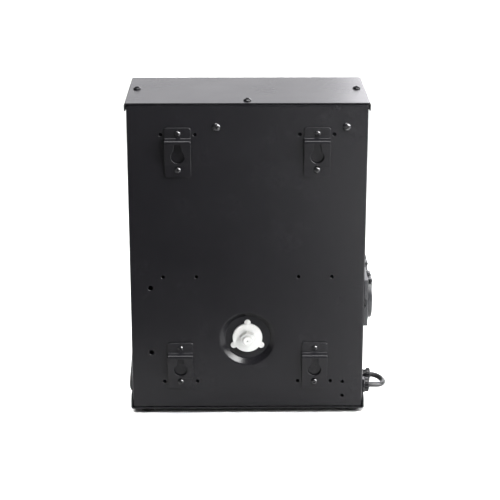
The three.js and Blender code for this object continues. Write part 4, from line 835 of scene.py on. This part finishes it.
drills += [rod("z", M4_HOLE, SHELL_TOP - 3, SHELL_TOP + 2, place, 24) for place in COVER_SCREWS]
drills += [rod("y", M4_HOLE, SHELL_DEPTH - 3, SHELL_DEPTH + 2, place, 24) for place in FRONT_SCREWS]


def leaning_cone(grow, lower=0.0):
    """Half of the air hood's form against the left wall, grown by a distance."""
    mouth, top = PANEL_FOOT + 15, PANEL_FOOT + 66
    cone = rod("z", 1, 0, 1, (0, 0), 72, tip=0.16)
    bmesh.ops.scale(cone, vec=(5.4 + grow, 30 + grow, top - mouth + grow + lower), verts=cone.verts)
    bmesh.ops.translate(cone, vec=(-WALL, 38, mouth - lower), verts=cone.verts)
    return cone


drills.append(leaning_cone(0.3))
blank = cut(blank, *drills)
print("drilled case:", len(blank.faces), "faces")

# %% [markdown]
# ## The pressed dish
#
# A round punch pushes the panel in around the outlet, so that the hot flange sits below the
# face. The section of the pressing is spun round the axis of the outlet and its two folds
# are rounded. The ring then meets the hole in the panel point for point: the walls between
# them are deleted and the doubled points merged, so the panel and dish are one skin. The few
# slits that the merging leaves are filled.

# %% Dish
def pressed_dish():
    """The ring of the dish, with the holes of the three ear pins."""
    face, bottom = SHEET / 2, SHEET / 2 + 4.5
    section = [(DISH_RIM, face), (28.9, face), (23.3, bottom), (10.8, bottom)]
    ring = spun("y", section, (0, OUTLET_Z), ROUND_STEPS)
    round_folds(ring, 2.25, 6)
    ring = worked(ring, "SOLIDIFY", thickness=SHEET, offset=0, use_even_offset=True)
    return cut(ring, *[rod("y", 1.1, 3, 9, place, 20) for place in EAR_PLACES])


def on_rim(vert):
    """Whether a point is on the edge where the dish meets the panel."""
    return abs(math.hypot(vert.co.x, vert.co.z - OUTLET_Z) - DISH_RIM) < 0.02 and vert.co.y < 2


case_shape = together(blank, pressed_dish())
seam = [face for face in case_shape.faces if all(on_rim(vert) for vert in face.verts)]
bmesh.ops.delete(case_shape, geom=seam, context="FACES")
bmesh.ops.remove_doubles(case_shape, verts=case_shape.verts, dist=0.01)
slits = [edge for edge in case_shape.edges if len(edge.link_faces) == 1]
bmesh.ops.holes_fill(case_shape, edges=slits, sides=4)
open_edges = sum(1 for edge in case_shape.edges if len(edge.link_faces) != 2)
print("seam faces removed:", len(seam), "open edges left:", open_edges)

# %% Case piece
BOARD_CORNERS = [(23, PANEL_FOOT + 93), (23, PANEL_FOOT + 191), (103, PANEL_FOOT + 93),
                 (103, PANEL_FOOT + 191)]
standoffs = [rod("x", 3, 0.75 - WALL, 8.5 - WALL, place, 24) for place in BOARD_CORNERS]
piece("bent_case", together(case_shape, *standoffs), powder, ["case_shell"],
      edge=0.35)

# %% [markdown]
# ## Covers
#
# The top cover and the bottom tray are the same kind of part: a flat sheet with a lip folded
# down or up along each side. The tray's lips have their corners clipped. The flat front
# cover closes the service side, and hooks into the tray with two tabs.

# %% Top cover
half = LIP - SHEET / 2
sheet_z = CASE_TOP - SHEET / 2
cover = folded([(-half, 0, CASE_TOP - 8), (-half, 0, sheet_z), (half, 0, sheet_z),
                (half, 0, CASE_TOP - 8)], (0, DEPTH, 0), BEND + 0.5)
cover = cut(cover, *[rod("z", M4_HOLE, SHELL_TOP - 1, CASE_TOP + 2, place, 24) for place in COVER_SCREWS])
piece("lid_sheet", cover, powder, ["top_cover"])

# %% Bottom tray
TRAY_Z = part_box("bottom_tray")[0].z * 1000
rim = PANEL_FOOT + 12
tray = folded([(-half, 0, rim), (-half, 0, TRAY_Z + SHEET / 2), (half, 0, TRAY_Z + SHEET / 2),
               (half, 0, rim)], (0, DEPTH, 0), BEND + 0.5)
FEET = [tuple(middle_of(f"foot_{k}"))[:2] for k in (1, 2, 3, 4)]
clips = []
TILT = Matrix.Rotation(math.radians(45), 3, "X")
for y, inward in ((0, 1), (DEPTH, -1)):
    corner = block((-LIP - 3, LIP + 3), (-6, 6), (-6, 6))
    bmesh.ops.rotate(corner, cent=(0, 0, 0), matrix=TILT, verts=corner.verts)
    bmesh.ops.translate(corner, vec=(0, y + inward * 3 - inward * 4.243, rim - 3 + 4.243),
                        verts=corner.verts)
    clips.append(corner)
stems = [rod("z", 3.3, TRAY_Z - 1, TRAY_Z + 3, place, 24) for place in FEET]
hooks = [block((x - 10.3, x + 10.3), (SHELL_DEPTH, DEPTH + 2), (TRAY_Z - 1, TRAY_Z + 2.2))
         for x in (-60, 60)]
piece("floor_tray", cut(tray, *clips, *stems, *hooks), powder, ["bottom_tray"])

# %% Front cover
front = (SHELL_DEPTH + 0.3, DEPTH)
plate = block((0.3 - WALL, WALL - 0.3), front, (PANEL_FOOT, SHELL_TOP))
tabs = [block((x - 10, x + 10), front, (TRAY_Z + 0.3, PANEL_FOOT + 1)) for x in (-60, 60)]
ribs = [block((x - 0.75, x + 0.75), (SHELL_DEPTH - 8, front[0] + 0.75),
              (PANEL_FOOT + 20, SHELL_TOP - 20)) for x in (-102.5, 102.5)]
vents = [slab((-35, 35), (SHELL_DEPTH - 1, DEPTH + 2),
              (PANEL_FOOT + 126.4 + 9 * row, PANEL_FOOT + 129.6 + 9 * row), "y", 1.57, 6)
         for row in range(7)]
holes = [rod("y", M4_HOLE, SHELL_DEPTH - 1, DEPTH + 2, place, 24) for place in FRONT_SCREWS]
piece("service_cover", cut(fused(plate, *tabs, *ribs), *vents, *holes), powder,
      ["front_cover"])

# %% [markdown]
# ## Keyhole hangers
#
# Each hanger is a strap joggled out 6 mm at its upper end, so that the head of a wall screw
# fits behind the plate, which then slopes back to the panel. Seen from the side it is one
# bent line, so it is folded like the other sheets, trimmed to a rounded outline and pierced
# with the keyhole, the slot of the foot and the hole of the upper screw. The neck of the
# keyhole is a block whose lower end is widened until it meets the round part. One strap is
# modelled, and four copies are moved to their places.

# %% Hanger
SIDE, TOP, FOOT = 13.2, 6, -44.7
LOW, HIGH = -1.05, -7.05
KEYHOLE = -23.4
THROUGH = (-14, 2)
strap_line = [(-SIDE, y, z) for y, z in
              ((LOW, TOP), (LOW, -5.4), (HIGH, -7.6), (LOW, -33.4), (LOW, FOOT))]
strap = folded(strap_line, (SIDE * 2, 0, 0), 2.8, SHEET, 8)
strap = combine(strap, slab((-SIDE, SIDE), THROUGH, (FOOT, TOP), "y", 2.5, 6), "INTERSECT")
strap = cut(strap, rod("y", 6.8, *THROUGH, (0, KEYHOLE), 56),
            slab((-2.7, 2.7), THROUGH, (-40.3, -33.4), "y", 2.65, 8),
            rod("y", M3_HOLE, *THROUGH, (0, 0), 24))
neck = block((-3.2, 3.2), THROUGH, (KEYHOLE, -10.0))
bmesh.ops.scale(neck, vec=(1.55, 1, 1), verts=[vert for vert in neck.verts if vert.co.z < -20])
strap = cut(strap, neck)
for name, (x, z) in HANGERS.items():
    piece(f"keyhole_strap_{name}", copy_of(strap, Matrix.Translation((x, 0, z))), powder,
          [f"hanger_{name}"], edge=0.45)
strap.free()

# %% [markdown]
# ## Pan-head screws
#
# A pan head is a low dome with a cross pressed into its top. The dome is a slice of a ball: a
# short arc, drawn point by point, is spun round the axis. The cross is two tapered bars cut
# out of it. The same screw stands for all the copies of its size.

# %% Screws
DOME_EDGE = math.radians(48)
ARC_STEPS = 7


def pan_screw(head, rise, shank, length, bar):
    """A screw along Z. `bar` is the width of its cross."""
    ball = head / math.sin(DOME_EDGE)
    angles = [DOME_EDGE * k / ARC_STEPS for k in range(ARC_STEPS, -1, -1)]
    dome = [(ball * math.sin(angle), rise - ball * (1 - math.cos(angle))) for angle in angles]
    drum = spun("z", [(0, 0), (head, 0)] + dome, (0, 0), 48)
    screw = together(drum, rod("z", shank, -length, 0.2, (0, 0), 24))
    for wide, long in ((bar, head * 1.15), (head * 1.15, bar)):
        cross = block((-wide / 2, wide / 2), (-long / 2, long / 2), (rise * 0.2, rise + 1))
        sole = [vert for vert in cross.verts if vert.co.z < rise]
        bmesh.ops.scale(cross, vec=(0.6, 0.6, 1), verts=sole)
        screw = cut(screw, cross)
    return screw


m4 = pan_screw(head=4, rise=2.4, shank=1.95, length=8, bar=1.5)
m3 = pan_screw(head=2.9, rise=1.9, shank=1.45, length=6, bar=1.1)
TOWARD_PANEL = Matrix.Rotation(math.pi / 2, 4, "X")
TOWARD_FRONT = Matrix.Rotation(-math.pi / 2, 4, "X")


def screw(name, node, size, place, aim, twist):
    """A copy of one size of screw, aimed at its surface and turned by a twist."""
    shape = copy_of(size, Matrix.Rotation(math.radians(twist), 4, "Z"), aim,
                    Matrix.Translation(place))
    piece(name, shape, blackened, [node], edge=0.08)


for k, (x, y) in enumerate(COVER_SCREWS, 1):
    screw(f"pan_screw_top_{k}", f"cover_screw_{k}", m4, (x, y, CASE_TOP + 0.3),
          Matrix.Identity(4), 20 * k)
for k, (x, z) in enumerate(FRONT_SCREWS, 1):
    screw(f"pan_screw_front_{k}", f"front_screw_{k}", m4, (x, DEPTH + 0.3, z), TOWARD_FRONT, 35 * k)
for k, (x, z) in enumerate(PANEL_SCREWS, 1):
    screw(f"pan_screw_panel_{k}", f"panel_screw_{k}", m4, (x, -0.3, z), TOWARD_PANEL, 15 + 25 * k)
for k, (name, (x, z)) in enumerate(HANGERS.items()):
    for end, drop, twist in (("top", 0, 30 * k), ("foot", HANGER_PITCH, 10 + 40 * k)):
        screw(f"pan_screw_{name}_{end}", f"hanger_{name}_{end}_screw", m3, (x, -2.1, z - drop),
              TOWARD_PANEL, twist)
m3.free()
m4.free()

# %% [markdown]
# ## Feet
#
# A push-in rubber foot is a thick button on a stem. Its lower rim is well rounded, because
# rubber can't hold a sharp edge, and its upper face bears on the tray.

# %% Feet
for k, (x, y) in enumerate(FEET, 1):
    button = rod("z", 7.2, 0, TRAY_Z - 0.3, (x, y), 48)
    round_over(button, edges_where(button, lambda place: place.z < 0.01), 1.0, 5)
    stem = rod("z", 3, TRAY_Z - 0.6, TRAY_Z + 5.8, (x, y), 24)
    piece(f"rubber_foot_{k}", together(button, stem), rubber, [f"foot_{k}"], edge=0.35)

# %% [markdown]
# ## Fog outlet
#
# The outlet is turned from heat-proof plastic: a thick disc with a spigot that reaches the
# heater, and three ears that hold it in the dish. The nozzle in its middle has a six-sided
# block for the spanner that tightens it, and a short round tip with a fine bore. Everything
# round is spun or a rod, the block is a rod with six sides, and the ears are fused on. They
# end just short of the back of the disc, since two faces in one plane are hard to fuse.

# %% Outlet
OUTLET_FACE = 1.9
BACK, SPIGOT_END = 4.4, 29.7
disc = spun("y", [(0, OUTLET_FACE), (15.4, OUTLET_FACE), (15.4, BACK), (10.5, BACK),
                  (10.5, SPIGOT_END), (0, SPIGOT_END)], (0, OUTLET_Z), 96)
front_rim = edges_where(disc, lambda p: p.y < OUTLET_FACE + 0.01 and
                        math.hypot(p.x, p.z - OUTLET_Z) > 15)
round_over(disc, front_rim, 0.9, 5)
for place in EAR_PLACES:
    ear = rod("y", 3.3, 3.1, BACK - 0.05, place, 40)
    round_over(ear, edges_where(ear, lambda p: p.y < 3.11), 0.5, 4)
    disc = fused(disc, ear)
disc = cut(disc, *[rod("y", 1.1, 2, 6, place, 24) for place in EAR_PLACES])
disc = cut(disc, rod("y", 4.2, 0, 31, (0, OUTLET_Z), 32))
piece("outlet_disc", disc, white, ["outlet_flange"], edge=0)

# %% Ear pins
pins = []
for x, z in EAR_PLACES:
    pin = rod("y", 1.7, 2.2, 3.1, (x, z), 32)
    round_over(pin, edges_where(pin, lambda p: p.y < 2.21), 0.7, 5)
    pins += [pin, rod("y", 1.0, 3.0, 6.4, (x, z), 20)]
piece("ear_pins", together(*pins), white, edge=0)

# %% Nozzle
tip = spun("y", [(0, -7.4), (4.5, -7.4), (6.3, -3.4), (3.9, -3.4), (3.9, 19.6), (0, 19.6)],
           (0, OUTLET_Z), 64)
tip_rim = edges_where(tip, lambda p: p.y < -7.39 and math.hypot(p.x, p.z - OUTLET_Z) > 4.4)
round_over(tip, tip_rim, 0.8, 5)
hexagon = rod("y", 7.7, -4.8, OUTLET_FACE - 0.05, (0, OUTLET_Z + 0.4), 6, tip=8.1, turn=-9)
nozzle = cut(fused(hexagon, tip), rod("y", 0.6, -9, 21, (0, OUTLET_Z), 20))
piece("fog_nozzle", nozzle, white, ["nozzle"], edge=0.3)
for name in ("outlet_disc", "ear_pins", "fog_nozzle"):
    add_to(NOT_WHITE, bpy.data.objects[name], "EXCLUDE")

# %% [markdown]
# ## Sockets with sprung lids
#
# Each socket is a square frame on the side wall with a round well behind it. A round lid
# hangs from two lugs on a steel pin, and a coil spring with two legs keeps it shut. The frame
# and the lid are fused from rods and rounded slabs. The lid rides on its own body, so it
# swings when its joint turns.

# %% Socket frames
FACE = WALL + 4.3
HINGE_X, HINGE_UP = WALL + 7.0, 20.6


def socket_frame(y):
    """A square flange with its well, two hinge lugs and the notch in its edge."""
    z = SOCKET_Z
    flange = slab((WALL + 0.3, FACE), (y - 25, y + 25), (z - 25, z + 25), "x", 1.5, 5)
    round_over(flange, edges_where(flange, lambda p: p.x > FACE - 0.01), 0.7, 4)
    shape = fused(flange, rod("x", 21.5, WALL - 31, WALL + 1, (y, z), 64))
    for low, high in ((-14.3, -11.3), (11.3, 14.3)):
        lug = fused(block((FACE - 1, HINGE_X), (y + low, y + high), (z + 18.2, z + 23)),
                    rod("y", 2.4, y + low, y + high, (HINGE_X, z + HINGE_UP), 32))
        shape = fused(shape, lug)
    shape = cut(shape, rod("x", 19.5, FACE - 17, FACE + 5, (y, z), 64),
                block((WALL, WALL + 2.15), (y - 26, y - 23), (z - 3.5, z + 3.5)))
    shape = cut(shape, *[rod("x", 2.6, FACE - 27, FACE - 15, (y + side * 9.5, z), 24)
                         for side in (-1, 1)])
    return cut(shape, rod("y", 1.3, y - 17, y + 17, (HINGE_X, z + HINGE_UP), 24))


for side, y in SOCKET_YS.items():
    piece(f"square_frame_{side}", socket_frame(y), socket_plastic,
          [f"socket_frame_{side}"], edge=0.25)

# %% Socket lids
def socket_lid(y):
    """A round lid with its knuckle, finger tab, seal groove and room for the spring."""
    z = SOCKET_Z
    inside, outside = FACE + 0.3, FACE + 4.7
    disc = rod("x", 22.9, inside, outside, (y, z), 96)
    round_over(disc, edges_where(disc, lambda p: p.x > outside - 0.01), 1.4, 6)
    disc = cut(disc, block((inside - 1, outside + 1), (y - 23, y + 23), (z + 17.6, z + 24)))
    shape = fused(disc, block((inside, outside - 0.6), (y - 11, y + 11), (z + 16.6, z + HINGE_UP)),
                  rod("y", 2.4, y - 11, y + 11, (HINGE_X, z + HINGE_UP), 32),
                  slab((inside, inside + 1.6), (y - 6, y + 6), (z - 24.7, z - 21.4), "x", 0.8, 4))
    hollow = spun("x", [(12.5, inside - 1), (16.2, inside - 1), (16.2, inside + 2.4),
                        (12.5, inside + 2.4), (12.5, inside - 1)], (y, z), 64)
    window = block((inside - 1, outside + 1), (y - 4.7, y + 4.7), (z + 18, z + 24))
    shape = cut(cut(shape, hollow), window)
    reach = 1.75 - 0.3 - 0.3
    inner_groove = block((inside - 1, HINGE_X - reach), (y - 4.5, y - 2.7), (z + 10.6, z + HINGE_UP))
    outer_groove = block((HINGE_X + reach, outside + 1), (y + 2.7, y + 4.5), (z + 10.6, z + HINGE_UP))
    shape = cut(shape, inner_groove, outer_groove)
    return cut(shape, rod("y", 1.3, y - 20, y + 20, (HINGE_X, z + HINGE_UP), 24))


for side, y in SOCKET_YS.items():
    piece(f"round_lid_{side}", socket_lid(y), socket_plastic,
          [f"socket_lid_{side}"], body=f"lid_{side}", edge=0.25)
    hinge_pin = rod("y", 1.0, y - 14.3, y + 14.3, (HINGE_X, SOCKET_Z + HINGE_UP), 24)
    piece(f"hinge_pin_{side}", hinge_pin, blackened, [f"lid_pin_{side}"], edge=0.15)

# %% Lid springs
def spring_route():
    """A leg up inside the lid, the turns round the pin and a leg down outside the lid."""
    turns, coil, length, leg = 4.5, 1.75, 7.2, 9.0
    points = [(-coil, -length / 2, -leg), (-coil, -length / 2, -leg / 2)]
    steps = int(turns * 28)
    for k in range(steps + 1):
        share = k / steps
        angle = math.pi - share * math.tau * turns
        points.append((coil * math.cos(angle), length * (share - 0.5), coil * math.sin(angle)))
    return points + [(coil, length / 2, -leg / 2), (coil, length / 2, -leg)]


def wire_shape(route, radius):
    """A wire along the points, as a mesh in case millimetres."""
    curve = bpy.data.curves.new("wire", "CURVE")
    curve.dimensions = "3D"
    curve.bevel_depth = radius
    curve.bevel_resolution = 3
    curve.use_fill_caps = True
    spline = curve.splines.new("POLY")
    spline.points.add(len(route) - 1)
    for knot, place in zip(spline.points, route):
        knot.co = (*place, 1)
    shape = read_back(new_object("wire", curve))
    bpy.data.curves.remove(curve)
    return shape


for side, y in SOCKET_YS.items():
    route = [(HINGE_X + a, y + b, SOCKET_Z + HINGE_UP + c) for a, b, c in spring_route()]
    piece(f"coil_spring_{side}", wire_shape(route, 0.3), blackened, [f"lid_spring_{side}"],
          body=f"lid_{side}", edge=0, smooth=60)

# %% [markdown]
# ## Cable glands
#
# A gland is a threaded nylon body with a six-sided collar against the wall, and a domed nut
# that squeezes a seal on the lead. The nut has shallow flutes for the fingers. It is a rod
# with a well-rounded outer rim, and ten thin rods cut the flutes. The far nut isn't screwed
# all the way home, as in the photograph.

# %% Glands
BACKED_OFF = {"near": 0.0, "far": 3.4}
for side, y in GLAND_YS.items():
    start = WALL + 3.6 + BACKED_OFF[side]
    end = start + 4.1
    thread_end = end - 1.7
    collar = rod("x", 7.3 / math.cos(math.pi / 6), WALL + 0.3, WALL + 3.3, (y, GLAND_Z), 6)
    body = fused(collar, rod("x", 5.4, WALL - 9, thread_end, (y, GLAND_Z), 48))
    body = cut(body, rod("x", 3.05, WALL - 11, thread_end + 2, (y, GLAND_Z), 40))
    piece(f"gland_{side}", body, nylon, [f"gland_body_{side}"], edge=0.3)
    nut = rod("x", 7.5, start, end, (y, GLAND_Z), 80)
    round_over(nut, edges_where(nut, lambda p: p.x > end - 0.01), 1.4, 6)
    flutes = [rod("x", 1.35, start - 2, end + 2,
                  (y + 8.25 * math.cos(math.tau * k / 10), GLAND_Z + 8.25 * math.sin(math.tau * k / 10)),
                  20) for k in range(10)]
    nut = cut(nut, *flutes)
    nut = cut(nut, rod("x", 5.7, start - 2, end - 1.4, (y, GLAND_Z), 48))
    nut = cut(nut, rod("x", 3.05, start, end + 2, (y, GLAND_Z), 40))
    piece(f"domed_nut_{side}", nut, nylon, [f"gland_nut_{side}"], edge=0.2)

# %% [markdown]
# ## Air hood
#
# Low on the left wall a pressed hood lets cooling air in from below and keeps drips out. It
# is half a leaning cone, open at its lower end, on a flange that is welded inside the wall.
# The outer cone is trimmed at the flange and the same cone, one sheet smaller and lowered,
# is taken out of it.

# %% Air hood
hood = leaning_cone(0)
bmesh.ops.bisect_plane(hood, geom=hood.verts[:] + hood.edges[:] + hood.faces[:], dist=1e-5,
                       plane_co=(0.3 + 1 - INNER, 0, 0), plane_no=(1, 0, 0), clear_outer=True)
bmesh.ops.holes_fill(hood, edges=[edge for edge in hood.edges if len(edge.link_faces) == 1])
bmesh.ops.recalc_face_normals(hood, faces=hood.faces)
flange = slab((0.3 - INNER, 1.3 - INNER), (3, 73), (PANEL_FOOT + 15, PANEL_FOOT + 71), "x", 4, 6)
piece("pressed_hood", cut(fused(flange, hood), leaning_cone(-1.2, 3)), matt_powder,
      ["air_hood"], edge=0.3)
